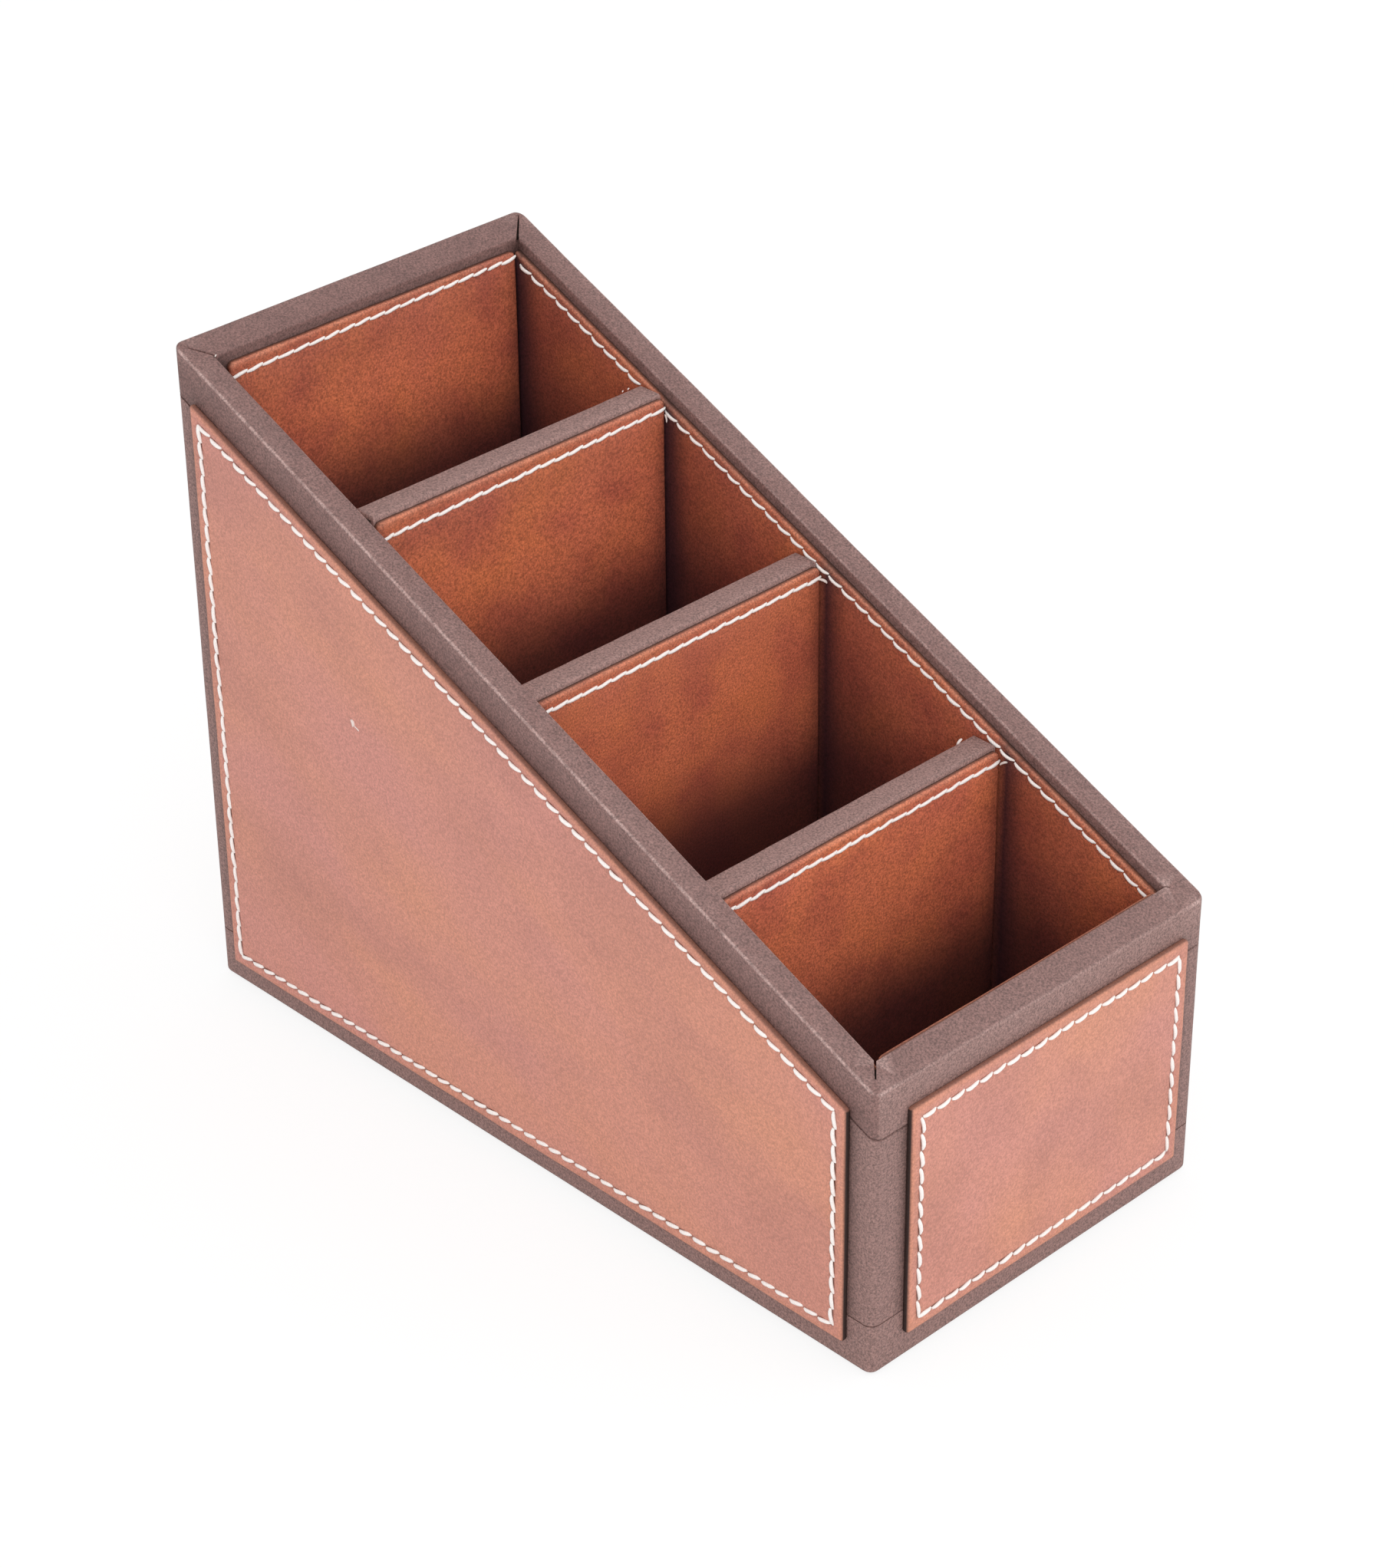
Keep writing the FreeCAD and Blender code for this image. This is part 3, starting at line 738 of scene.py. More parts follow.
class ORGANIZER_OT_rim(bpy.types.Operator):
    """Dark strip folded over the rim of all four walls, mitred at the corners"""

    bl_idname = "organizer.rim"
    bl_label = "Rim Binding"

    # How far the wear and painted highlight reach from each fold, and how far down a cut gives the painted
    # shade its corner points
    OUTER_FOLD_REACH = 6.5e-4
    INNER_FOLD_REACH = 5.5e-4
    FLANGE_CUT = 5e-3

    def execute(self, context):
        channel = self.add_channel()
        piece = self.add_folded_ring()
        carve(piece, channel)
        for side, end, reach in MITRES:
            open_mitre(piece, side, end, reach)
        modify(piece, "TRIANGULATE", min_vertices=5)
        make_uneven(piece, 0.7 * sizes().wave, 0.02)
        mark(piece, "edge", self.fold)
        mark(piece, "pale", self.pale)
        mark(piece, "depth", self.shade)
        finish_piece(piece, "rim_binding_leather", binding_leather(), ["rim_binding"])
        return {"FINISHED"}

    def add_channel(self):
        """The room below the top leather, between the two flanges."""
        ring_over_plan(LEATHER, sizes().corner - LEATHER, OPENING_X + LEATHER, OPENING_Y + LEATHER, 0)
        lean_on_rim(LEATHER)
        extrude_all(-2 * RIM_OUTER_FLANGE)
        stop_editing()
        return bpy.context.object

    def add_folded_ring(self):
        """The rim's strip, still filled, with its two rolled folds."""
        piece = ring_over_plan(0, sizes().corner, OPENING_X, OPENING_Y, 0)
        lean_on_rim(0)
        extrude_all(-RIM_OUTER_FLANGE * SLOPE_STRETCH)
        pick("VERT", lambda p: not on_rim(p) and not outside_opening(p))
        move(z=(RIM_OUTER_FLANGE - RIM_INNER_FLANGE) * SLOPE_STRETCH)
        pick("EDGE", lambda p: on_rim(p) and outside_opening(p))
        roll_edges(sizes().rim_roll, 4)
        pick("EDGE", lambda p: on_rim(p) and not outside_opening(p))
        roll_edges(sizes().rim_inner_roll, 4)
        cut_across((0, 0, rim_height(0, self.FLANGE_CUT)), (0, -SLOPE, 1))
        divide(0.005, BACK, RIGHT)
        stop_editing()
        return piece

    def fold(self, p):
        """Lighter wear and painted highlight along the two folds, strongest along the sides. The inner one's
        fades towards the back.
        """
        across = min(HALF_WIDTH - abs(p.x), HALF_LENGTH - abs(p.y))
        inner = min(abs(abs(p.x) - OPENING_X), abs(abs(p.y) - OPENING_Y))
        sharp = 1 if abs(p.x) > OPENING_X - 1e-3 else 0.25
        outer_fold = 1 - math.hypot(across, rim_distance(p)) / self.OUTER_FOLD_REACH
        inner_fold = 1 - math.hypot(inner, rim_distance(p)) / self.INNER_FOLD_REACH
        return sharp * max(0, 1.6 * outer_fold, inner_fold * fade(p.y, 0, HALF_LENGTH))

    def pale(self, p):
        """Painted light: the front flange is lightest, and the front's top a little lighter."""
        if p.y < 3e-4 - HALF_LENGTH:
            return 0.9
        return 0.2 * fade(p.y, -OPENING_Y, 1e-3 - OPENING_Y)

    def shade(self, p):
        """Shade of the outer flange just above the panels, and of the inner one towards the linings."""
        below = rim_distance(p)
        if not outside_opening(p):
            return 0.6 * fade(below, 1e-3, 4e-4) + 0.3 * fade(below, 3e-3, 1e-3)
        if beyond_panel(p) >= 0:
            return 0
        return (0.5 if on_side_wall(p) else 0.35) * fade(below, 8e-3, 4.8e-3)


class ORGANIZER_OT_wrap(bpy.types.Operator):
    """Dark strip round the walls between the rim binding and the base binding"""

    bl_idname = "organizer.wrap"
    bl_label = "Wall Wrap"

    # How far the shade beside each panel reaches
    SHADE_REACH = 3e-3

    def execute(self, context):
        foot = low("wall_wrap").z
        rounded_plan(LEATHER, sizes().corner - LEATHER, 0)
        extrude_all(2 * HALF_LENGTH)
        stop_editing()
        core = bpy.context.object
        piece = rounded_plan(0, sizes().corner, 0)
        lean_on_rim(RIM_OUTER_FLANGE + WRAP_GAP)
        pick_all()
        bpy.ops.mesh.extrude_region_move()
        bpy.ops.transform.resize(value=(1, 1, 0), center_override=(0, 0, foot))
        face_outwards()
        divide(0.008, BACK, RIGHT, UP)
        for reach in (0, 1.2e-3, self.SHADE_REACH):
            for end, corner in ((-1, low), (1, high)):
                cut_across((0, corner("left_panel").y + end * reach, 0), (0, 1, 0))
                cut_across((corner("front_panel").x + end * reach, 0, 0), (1, 0, 0))
        stop_editing()
        carve(piece, core)
        make_uneven(piece, 0.5 * sizes().wave, 0.02)
        mark(piece, "depth", lambda p: 0.45 * fade(beyond_panel(p), 0, self.SHADE_REACH))
        # Painted light: the wrap is lighter than the rim's top
        mark(piece, "pale", lambda p: 0.8)
        finish_piece(piece, "wall_wrap_leather", binding_leather(), ["wall_wrap"])
        return {"FINISHED"}


class ORGANIZER_OT_foot(bpy.types.Operator):
    """Dark strip round the foot, folded in under the base"""

    bl_idname = "organizer.foot"
    bl_label = "Base Binding"

    def execute(self, context):
        bottom, top = low("base_binding").z, high("base_binding").z
        fold_x = high("base_sheet").x - SHEET_OVERLAP
        fold_y = high("base_sheet").y - SHEET_OVERLAP

        def on_lower_edge(p):
            return p.z < bottom + NEAR and (abs(p.x) > fold_x + NEAR or abs(p.y) > fold_y + NEAR)

        rounded_plan(LEATHER, sizes().corner - LEATHER, bottom + LEATHER)
        extrude_all(2 * (top - bottom))
        stop_editing()
        core = bpy.context.object
        piece = ring_over_plan(0, sizes().corner, fold_x, fold_y, bottom)
        extrude_all(top - bottom)
        pick("EDGE", on_lower_edge)
        roll_edges(sizes().foot_roll, 5)
        divide(0.008, BACK, RIGHT)
        stop_editing()
        carve(piece, core)
        make_uneven(piece, 0.5 * sizes().wave, 0.02)
        # Painted light: the foot is lighter than the rim's top
        mark(piece, "pale", lambda p: 0.9)
        finish_piece(piece, "base_binding_leather", binding_leather(), ["base_binding"])
        return {"FINISHED"}


class ORGANIZER_OT_caps(bpy.types.Operator):
    """Dark leather folded over the top of each divider"""

    bl_idname = "organizer.caps"
    bl_label = "Divider Caps"

    def execute(self, context):
        for name in DIVIDERS:
            node = f"{name}_divider_cap"
            start, end = low(node), high(node)
            piece = new_piece("cube", (start + end) / 2, end - start)
            pick("FACE", lambda p: p.z < start.z + NEAR)
            inset(LEATHER)
            inset(0, -(end.z - start.z - LEATHER))
            pick("EDGE", lambda p: p.z > end.z - NEAR)
            roll_edges(sizes().cap_roll, 5)
            divide(0.002, RIGHT)
            stop_editing()
            make_uneven(piece, 0.6 * sizes().wave, 0.006)
            # Painted light: the caps are lighter than the rim's top
            mark(piece, "pale", lambda p: 0.9)
            finish_piece(piece, f"{name}_divider_cap_leather", binding_leather(), [node])
        return {"FINISHED"}


# Tan leather. Each piece is drawn flat, X to the right, Y up and Z outwards, then set on its wall.

class Wall:
    """Where a flat drawing goes: the piece's face lies at the origin's depth."""

    def __init__(self, across, outward, origin):
        self.across = Vector(across)
        self.outward = Vector(outward)
        self.origin = Vector(origin)
        self.rise = SLOPE * self.across.y

    def flat(self, point):
        """X and Y in the drawing of a point of the object."""
        return (point - self.origin).dot(self.across), point.z

    def thickness(self, node):
        """How thick a node is, square to the wall."""
        return abs((high(node) - low(node)).dot(self.outward))


def outline_of(node, wall):
    """Corners of a node's face in the drawing, counter-clockwise from the lower left one."""
    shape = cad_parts[node]
    flat = [wall.flat(shape.matrix_world @ vertex.co) for vertex in shape.data.vertices]
    left, right = min(x for x, _ in flat), max(x for x, _ in flat)
    foot = min(y for _, y in flat)
    level = max(y - wall.rise * x for x, y in flat)
    if node.endswith("rear_lining"):
        level -= REAR_LINING_DROP
    if node == "back_lining":
        left += BACK_LINING_SHORT
    if node.startswith("side_lining"):
        left, right = max(left, -OPENING_Y), min(right, OPENING_Y)
    left_top, right_top = level + wall.rise * left, level + wall.rise * right
    return [(left, foot), (right, foot), (right, right_top), (left, left_top)]


def flat_outline(outline):
    """Opens a flat piece with the outline's four corners, at depth 0."""
    (x0, y0), (x1, _), (_, right_top), (_, left_top) = outline
    middle = (x0 + x1) / 2
    new_piece("plane", (middle, y0 + 0.5, 0), (x1 - x0, 1, 1))
    for right_side, top in ((True, right_top), (False, left_top)):
        pick("VERT", lambda p: p.y > y0 + 0.5 and (p.x > middle) == right_side)
        move(y=top - y0 - 1)


def steepness(outline):
    (x0, _), (x1, _), (_, right_top), (_, left_top) = outline
    return (right_top - left_top) / (x1 - x0)


def below_top(point, outline):
    """How far a point of the drawing lies square below the outline's upper side."""
    slope = steepness(outline)
    return (outline[3][1] + slope * (point.x - outline[3][0]) - point.y) / math.hypot(1, slope)


def within(point, outline):
    """How far a point of the drawing lies inside the outline's nearest side."""
    (x0, y0), (x1, _), _, _ = outline
    return min(point.x - x0, x1 - point.x, point.y - y0, below_top(point, outline))


def groove_profile():
    """Steps across the pulled-in line of the thread: distance from the last step, change of depth."""
    depth = sizes().groove
    reach = sizes().groove_reach
    return [
        (0.35 * reach, -0.1 * depth),
        (0.35 * reach, -0.4 * depth),
        (0.3 * reach, -0.5 * depth),
        (0.3 * reach, 0.5 * depth),
        (0.35 * reach, 0.4 * depth),
        (0.35 * reach, 0.1 * depth),
    ]


def panel_walls():
    """Node and wall of each outer panel."""
    return [
        ("left_panel", Wall(-BACK, -RIGHT, (-HALF_WIDTH, 0, 0))),
        ("right_panel", Wall(BACK, RIGHT, (HALF_WIDTH, 0, 0))),
        ("front_panel", Wall(RIGHT, -BACK, (0, -HALF_LENGTH, 0))),
        ("back_panel", Wall(-RIGHT, BACK, (0, HALF_LENGTH, 0))),
    ]


class ORGANIZER_OT_panels(bpy.types.Operator):
    """Thick tan panels with rolled edges on the four outer faces"""

    bl_idname = "organizer.panels"
    bl_label = "Outer Panels"

    def execute(self, context):
        for name, wall in panel_walls():
            outline = outline_of(name, wall)
            thickness = wall.thickness(name)
            flat_outline(outline)
            piece = bpy.context.object
            extrude_all(thickness)
            pick("EDGE", lambda p: p.z < SAME)
            bpy.ops.mesh.select_all(action="INVERT")
            roll_edges(sizes().panel_roll, 4)
            pick("EDGE", lambda p: p.z < SAME)
            roll_edges(sizes().panel_back_roll, 2)
            self.add_groove(outline, thickness)
            stop_editing()
            make_uneven(piece, sizes().wave, 0.03, "Z")
            make_uneven(piece, 0.5 * sizes().wave, 0.012)
            # Lighter wear and a painted highlight along the panel's rolled edges
            mark(piece, "edge", lambda p: 0.6 * fade(within(p, outline), 0.4e-3, 1.7e-3))
            mark(piece, "seam", lambda p: self.seam(p, outline, thickness))
            set_on_wall(piece, wall)
            finish_piece(piece, f"{name}_leather", panel_leather(), [name])
        return {"FINISHED"}

    def seam(self, p, outline, thickness):
        """Shade of the panel's side: darkest at the upright ends, where the glue shows."""
        strength = 1 if below_top(p, outline) > within(p, outline) + SAME else 0.6
        return strength * fade(p.z, 0.7 * thickness, 0.95 * thickness)

    def add_groove(self, outline, face):
        """Insets the face down into the thread's line and up again."""
        edge = sizes().panel_roll + NEAR

        def on_face(p):
            return p.z > face - SAME

        pick("FACE", on_face)
        inset(PANEL_SETBACK - sizes().panel_roll - sizes().groove_reach)
        if steepness(outline):
            pick("VERT", lambda p: on_face(p) and edge < below_top(p, outline) < PANEL_SETBACK)
            move(y=(PANEL_SETBACK - SLOPE_SETBACK) * SLOPE_STRETCH)
            pick("FACE", lambda p: on_face(p) and within(p, outline) > edge)
        for thickness, depth in groove_profile():
            inset(thickness, depth)
        divide(0.006, RIGHT, BACK)


def lining_walls():
    """Node and wall of each lining."""
    walls = [
        ("side_lining_left", Wall(BACK, RIGHT, (high("side_lining_left").x, 0, 0))),
        ("side_lining_right", Wall(-BACK, -RIGHT, (low("side_lining_right").x, 0, 0))),
        ("front_lining", Wall(-RIGHT, BACK, (0, high("front_lining").y, 0))),
        ("back_lining", Wall(RIGHT, -BACK, (0, low("back_lining").y, 0))),
    ]
    for name in DIVIDERS:
        front, rear = f"{name}_divider_front_lining", f"{name}_divider_rear_lining"
        walls.append((front, Wall(RIGHT, -BACK, (0, low(front).y, 0))))
        walls.append((rear, Wall(-RIGHT, BACK, (0, high(rear).y, 0))))
    return walls


def flange_below_top(name):
    """How far down behind a lining the folded leather of the rim or of the cap reaches."""
    if "divider" in name:
        cap = name.split("_divider")[0] + "_divider_cap"
        return CAP_FLANGE - (high(cap).z - high(name).z)
    return RIM_INNER_FLANGE


class ORGANIZER_OT_linings(bpy.types.Operator):
    """Tan linings of the four walls and of both faces of each divider"""

    bl_idname = "organizer.linings"
    bl_label = "Linings"

    def execute(self, context):
        for name, wall in lining_walls():
            outline = outline_of(name, wall)
            skin = wall.thickness(name)
            proud = skin - LEATHER
            flat_outline(outline)
            piece = bpy.context.object
            extrude_all(-proud)
            for x, y in outline[2:]:
                pick("EDGE", lambda p: math.hypot(p.x - x, p.y - y) < SAME)
                roll_edges(sizes().lining_corner, 4)
            self.roll_face(outline[0][1])
            self.add_groove(*lining_line(name, outline))
            self.thicken_foot(outline, flange_below_top(name), proud, skin)
            divide(0.003, RIGHT, longer_than=0.012)
            divide(0.006, BACK, longer_than=0.012)
            stop_editing()
            make_uneven(piece, 1.2 * sizes().wave, 0.025)
            # Lighter wear and a painted highlight along the lining's rolled top edge
            mark(piece, "edge", lambda p: 0.45 * fade(below_top(p, outline), 0.3e-3, 1.6e-3))
            mark(piece, "depth", self.depth_of(name, wall, outline))
            # Painted shade on the lining's back part, where it meets the folded leather behind it
            mark(piece, "seam", lambda p: fade(p.z, -1.0e-3, -0.35e-3))
            set_on_wall(piece, wall)
            finish_piece(piece, f"{name}_leather", lining_leather(), [name])
        return {"FINISHED"}

    def roll_face(self, foot):
        """Rolls the face's edges, except along its foot."""
        pick("EDGE", lambda p: p.z > -SAME)
        for edge in edited().edges:
            if edge.select and max(vertex.co.y for vertex in edge.verts) < foot + SAME:
                edge.select_set(False)
        bmesh.update_edit_mesh(bpy.context.object.data)
        roll_edges(sizes().lining_roll, 4)

    def add_groove(self, start, end):
        """Pulls the face in along the thread's line, below the upper edge."""
        reach, depth = sizes().groove_reach, sizes().groove
        start, end = Vector((*start, 0)), Vector((*end, 0))
        across = UP.cross(end - start).normalized()
        steps = ((-reach, 0), (-reach / 2, 0.4), (0, 1), (reach / 2, 0.4), (reach, 0))
        for offset, _ in steps:
            cut_across(start + offset * across, across)
        for offset, sink in steps:
            pick("VERT", lambda p: p.z > -SAME and abs((p - start).dot(across) - offset) < SAME)
            move(z=-sink * depth)

    def depth_of(self, name, wall, outline):
        """Shade of the leather: darker far down, and on the side walls near the face behind."""
        faces = [low(f"{divider}_divider_front_lining").y for divider in DIVIDERS] + [low("back_lining").y]
        upper, lit = COMPARTMENT_LIGHT.get(name, USUAL_LIGHT)
        left, right = outline[0][0], outline[1][0]

        def below(p):
            """How far a point lies below the upper edge, measured upright."""
            return below_top(p, outline) * math.hypot(1, wall.rise)

        def side_wall(p):
            all_over, towards, close, far_down = SIDE_SHADE
            y = wall.across.y * p.x
            gap = min([face - y for face in faces if face > y - 1e-3] or [HALF_LENGTH])
            beside = all_over + towards * fade(gap, 8e-3, 28e-3) + close * fade(gap, 1e-3, 7e-3)
            return 1 - (1 - min(1, beside)) * (1 - far_down * ease(below(p), 8e-3, 46e-3))

        def end_wall(p):
            close, far_down = END_SHADE
            beside = close * fade(min(p.x - left, right - p.x), 0, 5e-3)
            lower = far_down * ease(below(p), lit, lit + 24e-3)
            return max(upper * fade(below(p), 6e-3, 18e-3), 1 - (1 - beside) * (1 - lower))

        return side_wall if wall.rise else end_wall

    def thicken_foot(self, outline, reach, proud, skin):
        """Brings the back out to the board below what is folded over the wall's top."""
        slope = steepness(outline)
        left, top = outline[3]
        cut_across((left, top - reach * math.hypot(1, slope), 0), (-slope, 1, 0))
        pick("FACE", lambda p: p.z < -proud + SAME and below_top(p, outline) > reach - SAME)
        extrude(proud - skin)


# Thread. The rows are drawn flat, like the piece that they hold.

def panel_corners(outline):
    """Corners of the thread's line on a panel, counter-clockwise from the lower left one."""
    (x0, y0), (x1, _), (_, right_top), (_, left_top) = outline
    slope = steepness(outline)
    fall = (SLOPE_SETBACK if slope else PANEL_SETBACK) * math.hypot(1, slope)
    left, right, foot = x0 + PANEL_SETBACK, x1 - PANEL_SETBACK, y0 + PANEL_SETBACK
    return [
        (left, foot),
        (right, foot),
        (right, right_top - fall - PANEL_SETBACK * slope),
        (left, left_top - fall + PANEL_SETBACK * slope),
    ]


def lining_line(name, outline):
    """Left and right end of the thread's line on a lining."""
    (x0, _), (x1, _), (_, right_top), (_, left_top) = outline
    upright = math.hypot(1, steepness(outline))
    left_slip, right_slip = ROW_SLIP.get(name, (0, 0))
    setback = SIDE_LINING_SETBACK if name.startswith("side_lining") else END_LINING_SETBACK
    left_fall, right_fall = (setback + left_slip) * upright, (setback + right_slip) * upright
    return (x0, left_top - left_fall), (x1, right_top - right_fall)


def lining_row(name, outline):
    """First and last point of the row of stitches on a lining."""
    start, end = (Vector(point) for point in lining_line(name, outline))
    inward = sizes().lining_pitch / 2 / (end - start).length if steepness(outline) else 0
    return start.lerp(end, inward), end.lerp(start, inward)


def model_stitch(span, width, slant, bow):
    """One stitch along X: round thread, bowed to one side, with both ends down in the leather."""
    bpy.ops.object.select_all(action="DESELECT")
    bpy.ops.mesh.primitive_cylinder_add(
        vertices=8, radius=width / 2, depth=span, rotation=(0, math.pi / 2, 0), end_fill_type="NGON"
    )
    apply_placing()
    stitch = bpy.context.object
    bpy.ops.object.mode_set(mode="EDIT")
    face_outwards()
    steps = 6
    taper = 0.4
    flatness = 0.8
    dip = 0.3 * width
    divide(span / steps, RIGHT, longer_than=0.9 * span)
    for index in range(steps + 1):
        x = span * (index / steps - 0.5)
        off_middle = abs(2 * x / span)
        thickness = 1 - taper * off_middle ** 4
        pick("VERT", lambda p: abs(p.x - x) < span / (4 * steps))
        bpy.ops.transform.resize(value=(1, thickness, flatness * thickness), center_override=(x, 0, 0))
        move(y=bow * (1 - off_middle ** 2), z=-dip * off_middle ** 3)
    stop_editing()
    stitch.rotation_euler.z = slant
    apply_placing()
    return stitch


def join(pieces):
    """Makes one object of the pieces: the first of them."""
    select_only(*pieces)
    if len(pieces) > 1:
        bpy.ops.object.join()
    return pieces[0]


class ORGANIZER_OT_stitching(bpy.types.Operator):
    """Rows of white thread on every panel and lining"""

    bl_idname = "organizer.stitching"
    bl_label = "Stitching"

    def execute(self, context):
        lying = model_stitch(sizes().panel_stitch, sizes().thread, sizes().slant, sizes().bow)
        upright = model_stitch(sizes().upright_stitch, sizes().thread, sizes().slant, sizes().bow)
        for name, wall in panel_walls():
            corners = panel_corners(outline_of(name, wall))
            rows = zip((lying, upright, lying, upright), corners, corners[1:] + corners[:1])
            self.sew(name, wall, wall.thickness(name), rows, sizes().panel_pitch)
        width, slant = sizes().lining_thread, sizes().lining_slant
        level = model_stitch(sizes().lining_stitch, width, slant, sizes().bow)
        sloped = model_stitch(sizes().side_stitch, width, slant, -sizes().side_bow)
        for name, wall in lining_walls():
            start, end = lining_row(name, outline_of(name, wall))
            rows = [(sloped if wall.rise else level, start, end)]
            self.sew(name, wall, 0, rows, sizes().lining_pitch)
        for used in (lying, upright, level, sloped):
            bpy.data.objects.remove(used)
        return {"FINISHED"}

    def sew(self, name, wall, face, rows, pitch):
        """Copies the stitch along each row, and joins the rows to one piece on the wall."""
        level = face - 0.7 * sizes().groove + 0.3 * sizes().thread
        made = []
        for pattern, start, end in rows:
            span = math.dist(start, end)
            count = max(1, round(span / pitch))
            select_only(pattern)
            bpy.ops.object.duplicate(linked=False)
            row = bpy.context.object
            step = span / count
            modify(
                row, "ARRAY", count=count, use_relative_offset=False, use_constant_offset=True,
                constant_offset_displace=(step, 0, 0),
            )
            heading = math.atan2(end[1] - start[1], end[0] - start[0])
            row.rotation_euler.z = heading
            row.location = (
                start[0] + 0.5 * step * math.cos(heading),
                start[1] + 0.5 * step * math.sin(heading),
                level,
            )
            apply_placing()
            made.append(row)
        piece = join(made)
        make_uneven(piece, THREAD_WANDER, 0.005, "RGB_TO_XYZ")
        set_on_wall(piece, wall)
        thread = thread_material("white thread", list(colours().thread))
        finish_piece(piece, f"{name}_thread", thread, [f"{name}_stitching"], 60)


def divider_corner(divider):
    """Upper right corner of a divider's front lining."""
    node = f"{divider}_divider_front_lining"
    return Vector((high(node).x, low(node).y, high(node).z))


def loose_threads():
    """Each stray bit of thread: a point nearby, both ends from there, and thickness against a stitch."""
    rear_cap, front_cap = high("rear_divider_cap"), high("front_divider_cap")
    rear, middle, front = (divider_corner(divider) for divider in ("rear", "middle", "front"))
    mitre = Vector((-OPENING_X, OPENING_Y, rim_height(OPENING_Y)))
    fleck = low("left_panel") + Vector((0, 0.1408, 0.0828))
    return [
        (fleck, (0, 0, 0), (0, -0.5e-3, -1.5e-3), 1.1),
        (fleck, (0, -0.5e-3, -1.3e-3), (0, -2.0e-3, -1.9e-3), 0.4),
        (front_cap, (-5.1e-3, 0, -0.7e-3), (-3.6e-3, 0.1e-3, 0.3e-3), 0.7),
        (middle, (-0.6e-3, -0.1e-3, -2.4e-3), (0.2e-3, -1.8e-3, -2.9e-3), 0.8),
        (rear, (-0.1e-3, -0.2e-3, -3.4e-3), (0, -0.6e-3, -5.2e-3), 0.5),
        (front, (-0.3e-3, -0.2e-3, -2.8e-3), (0.3e-3, -1.6e-3, -1.9e-3), 0.7),
        (mitre, (-0.2e-3, -0.5e-3, 0), (0.5e-3, 0, 0), 0.35),
        (rear_cap, (-3.9e-3, 0, 0), (-3.4e-3, 0.1e-3, 0.2e-3), 0.35),
        (rear_cap, (-5.5e-3, 0, 0), (-5.1e-3, 0.1e-3, 0.2e-3), 0.3),
    ]


class ORGANIZER_OT_loose_threads(bpy.types.Operator):
    """Thread ends and flecks that the sewing left behind"""

    bl_idname = "organizer.loose_threads"
    bl_label = "Loose Threads"

    def execute(self, context):
        span = sizes().panel_stitch
        made = []
        for point, start, end, thickness in loose_threads():
            start, end = point + Vector(start), point + Vector(end)
            piece = model_stitch(span, sizes().thread, 0, sizes().bow)
            turned = (end - start).to_track_quat("X", "Z")
            stretch = Vector(((end - start).length / span, thickness, thickness))
            piece.matrix_world = Matrix.LocRotScale((start + end) / 2, turned, stretch)
            made.append(piece)
        select_only(*made)
        apply_placing()
        join(made)
        thread = thread_material("loose thread", list(colours().loose_thread))
        finish_piece(made[0], "loose_threads", thread, None, 60)
        return {"FINISHED"}


class ORGANIZER_OT_core(bpy.types.Operator):
    """Finish of the boards, the compartment floors and the sheet under the foot"""

    bl_idname = "organizer.core"
    bl_label = "Boards And Floors"

    def execute(self, context):
        board = matted_material("grey board", list(colours().board), 0.0006, 0.85)
        felt = matted_material("dark felt", list(colours().felt), 0.0004, 0.95)
        for name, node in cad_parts.items():
            if name.endswith("_board") or name.startswith("side_board"):
                material = board
            elif name == "base_sheet":
                material = felt
            elif name.endswith("floor_lining"):
                material = plain_leather()
            else:
                continue
            for cell in node.material_slots:
                cell.material = material
        return {"FINISHED"}


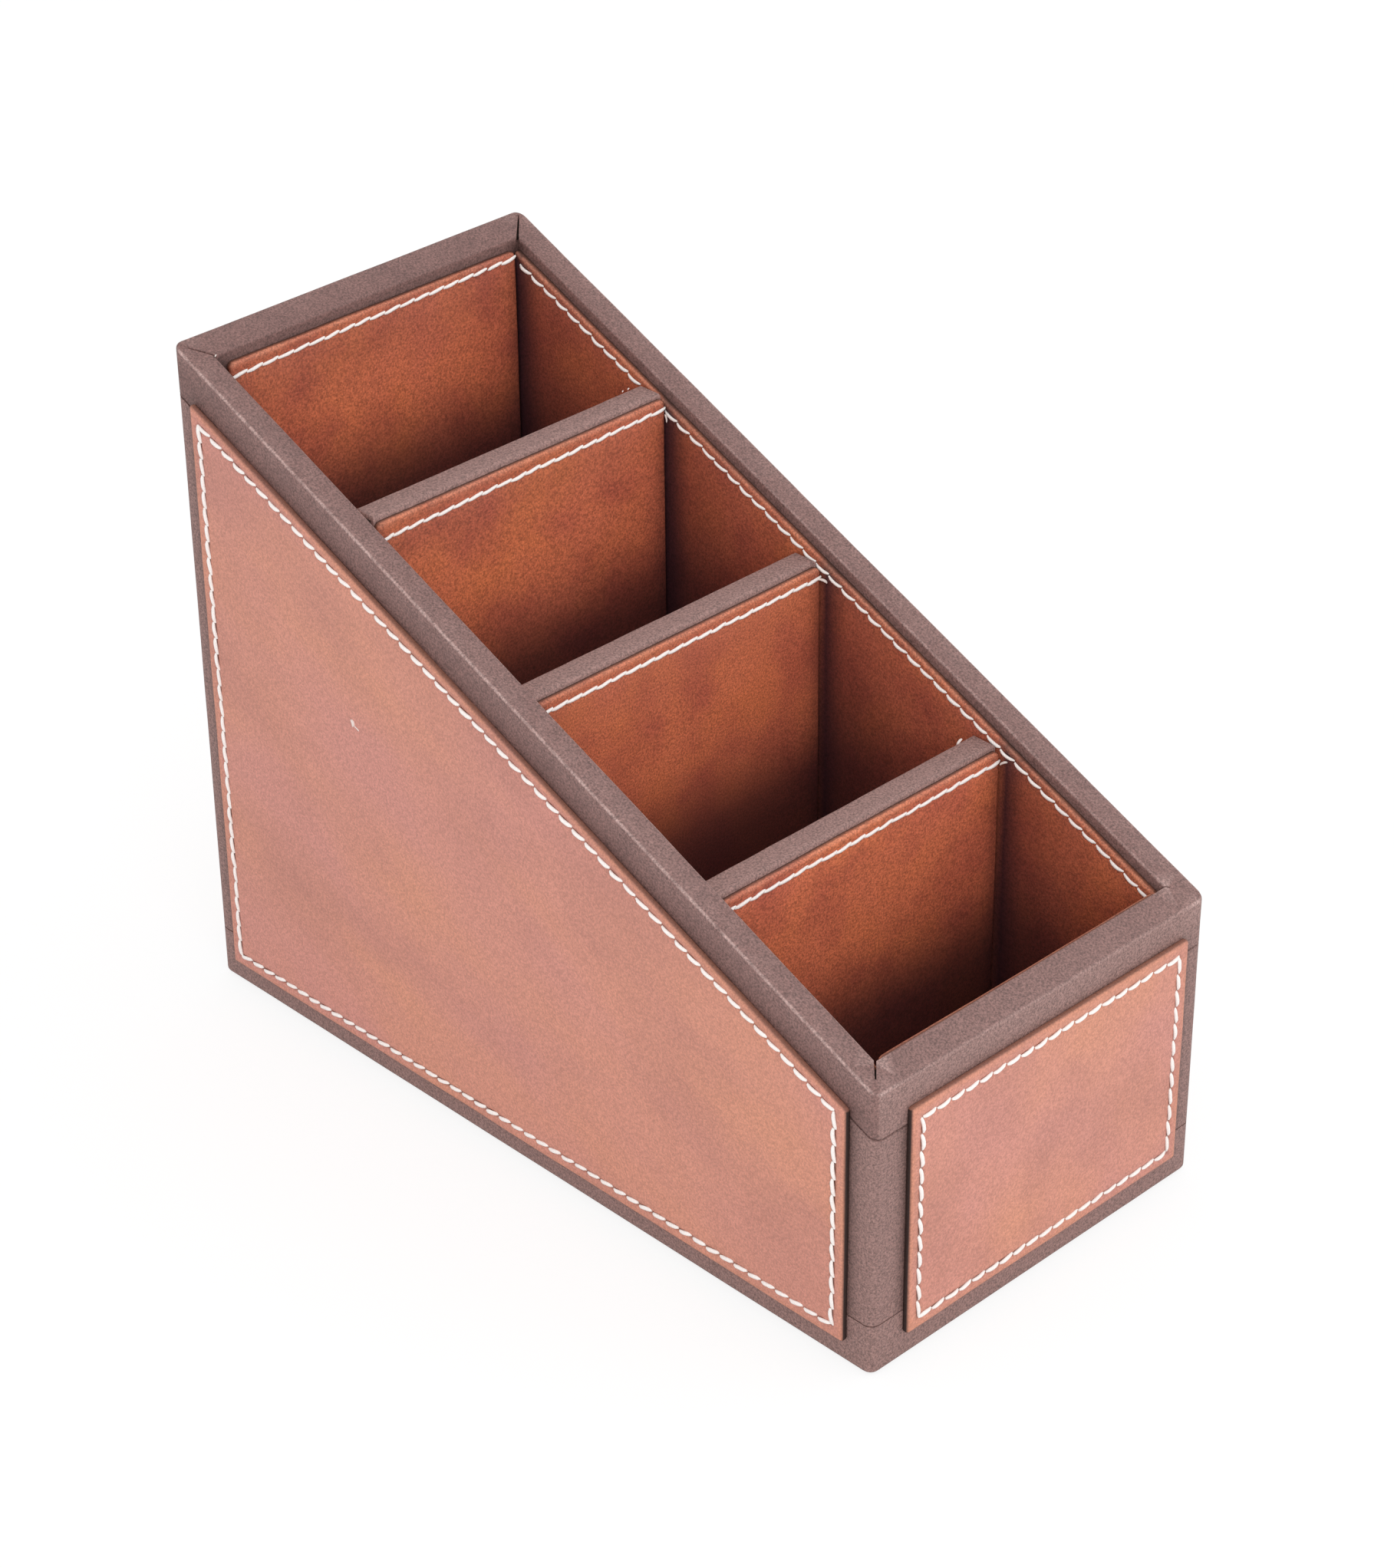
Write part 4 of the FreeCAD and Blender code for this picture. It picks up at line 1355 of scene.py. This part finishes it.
class ORGANIZER_OT_stage(bpy.types.Operator):
    """Floor, light and camera"""

    bl_idname = "organizer.stage"
    bl_label = "Stage"

    def execute(self, context):
        stage = context.scene.organizer_stage
        context.scene.view_settings.view_transform = "Standard"
        self.add_floor()
        self.add_world(stage)
        self.add_lamps(stage)
        self.add_camera(stage)
        return {"FINISHED"}

    def add_floor(self):
        bpy.ops.object.select_all(action="DESELECT")
        bpy.ops.mesh.primitive_plane_add(size=6, location=(0, 0, 0))
        floor = bpy.context.object
        floor.name = "floor"
        material, tree, shader, _ = new_material("pale floor", 0.9, 0.1)
        shader.inputs["Base Color"].default_value = colours().floor
        white = add_node(tree, "ShaderNodeEmission", {"Strength": 1.08})
        seen = add_node(tree, "ShaderNodeLightPath")
        amount = calculate(tree, "MULTIPLY", seen.outputs["Is Camera Ray"], 0.75)
        inputs = {0: amount, 1: shader.outputs["BSDF"], 2: white.outputs["Emission"]}
        mixed = add_node(tree, "ShaderNodeMixShader", inputs)
        tree.links.new(mixed.outputs[0], tree.nodes["Material Output"].inputs["Surface"])
        floor.data.materials.append(material)

    def add_world(self, stage):
        world = bpy.data.worlds.new("pale room")
        bpy.context.scene.world = world
        world.use_nodes = True
        tree = world.node_tree
        tree.nodes.clear()
        seen = add_node(tree, "ShaderNodeLightPath").outputs
        plain = calculate(tree, "MAXIMUM", seen["Is Camera Ray"], seen["Is Transmission Ray"])
        strength = spread(tree, plain, 0.0, 1.0, stage.sky, 1.0)
        room = add_node(tree, "ShaderNodeBackground", {"Color": (1, 1, 1, 1), "Strength": strength})
        output = add_node(tree, "ShaderNodeOutputWorld", {"Surface": room.outputs["Background"]})
        output.is_active_output = True

    def add_lamps(self, stage):
        aim = Vector((0, 0, 0.06))
        for name, power, size, spot in (
            ("key lamp", stage.key, 0.9, Vector((-0.75, -1.05, 0.9))),
            ("fill lamp", stage.fill, 1.2, Vector((0.9, -0.7, 0.8))),
        ):
            bpy.ops.object.select_all(action="DESELECT")
            bpy.ops.object.light_add(type="AREA", location=spot)
            lamp = bpy.context.object
            lamp.name = name
            lamp.rotation_euler = (spot - aim).to_track_quat("Z", "Y").to_euler()
            lamp.data.energy = power
            lamp.data.size = size

    def add_camera(self, stage):
        turned = (
            Matrix.Rotation(stage.azimuth, 3, "Z")
            @ Matrix.Rotation(math.pi / 2 - stage.elevation, 3, "X")
            @ Matrix.Rotation(stage.roll, 3, "Z")
        )
        bpy.ops.object.select_all(action="DESELECT")
        bpy.ops.object.camera_add()
        camera = bpy.context.object
        camera.location = turned @ Vector((stage.aside, stage.above, stage.behind))
        camera.rotation_euler = turned.to_euler()
        camera.data.lens = stage.focal_length
        camera.data.sensor_width = 36
        camera.data.clip_start = 0.01
        bpy.context.scene.camera = camera


class ORGANIZER_PT_sidebar(bpy.types.Panel):
    """The organizer's steps, in the order in which they are made"""

    bl_idname = "ORGANIZER_PT_sidebar"
    bl_label = "Pen Organizer"
    bl_space_type = "VIEW_3D"
    bl_region_type = "UI"
    bl_category = "Organizer"

    def draw(self, context):
        column = self.layout.column()
        for step in STEPS:
            column.operator(step.bl_idname)
        for settings in (sizes(), colours(), context.scene.organizer_stage):
            column.separator()
            for name in settings.bl_rna.properties.keys():
                if name not in ("rna_type", "name"):
                    column.prop(settings, name)


STEPS = (
    ORGANIZER_OT_rim,
    ORGANIZER_OT_wrap,
    ORGANIZER_OT_foot,
    ORGANIZER_OT_caps,
    ORGANIZER_OT_panels,
    ORGANIZER_OT_linings,
    ORGANIZER_OT_stitching,
    ORGANIZER_OT_loose_threads,
    ORGANIZER_OT_core,
    ORGANIZER_OT_stage,
)
CLASSES = (ORGANIZER_PG_sizes, ORGANIZER_PG_colours, ORGANIZER_PG_stage, *STEPS, ORGANIZER_PT_sidebar)


def register():
    for item in CLASSES:
        bpy.utils.register_class(item)
    bpy.types.Scene.organizer_sizes = PointerProperty(type=ORGANIZER_PG_sizes)
    bpy.types.Scene.organizer_colours = PointerProperty(type=ORGANIZER_PG_colours)
    bpy.types.Scene.organizer_stage = PointerProperty(type=ORGANIZER_PG_stage)


def unregister():
    del bpy.types.Scene.organizer_stage
    del bpy.types.Scene.organizer_colours
    del bpy.types.Scene.organizer_sizes
    for item in reversed(CLASSES):
        bpy.utils.unregister_class(item)


def main():
    register()
    bpy.ops.organizer.rim()
    bpy.ops.organizer.wrap()
    bpy.ops.organizer.foot()
    bpy.ops.organizer.caps()
    bpy.ops.organizer.panels()
    bpy.ops.organizer.linings()
    bpy.ops.organizer.stitching()
    bpy.ops.organizer.loose_threads()
    bpy.ops.organizer.core()
    bpy.ops.organizer.stage()


if __name__ == "__main__":
    main()
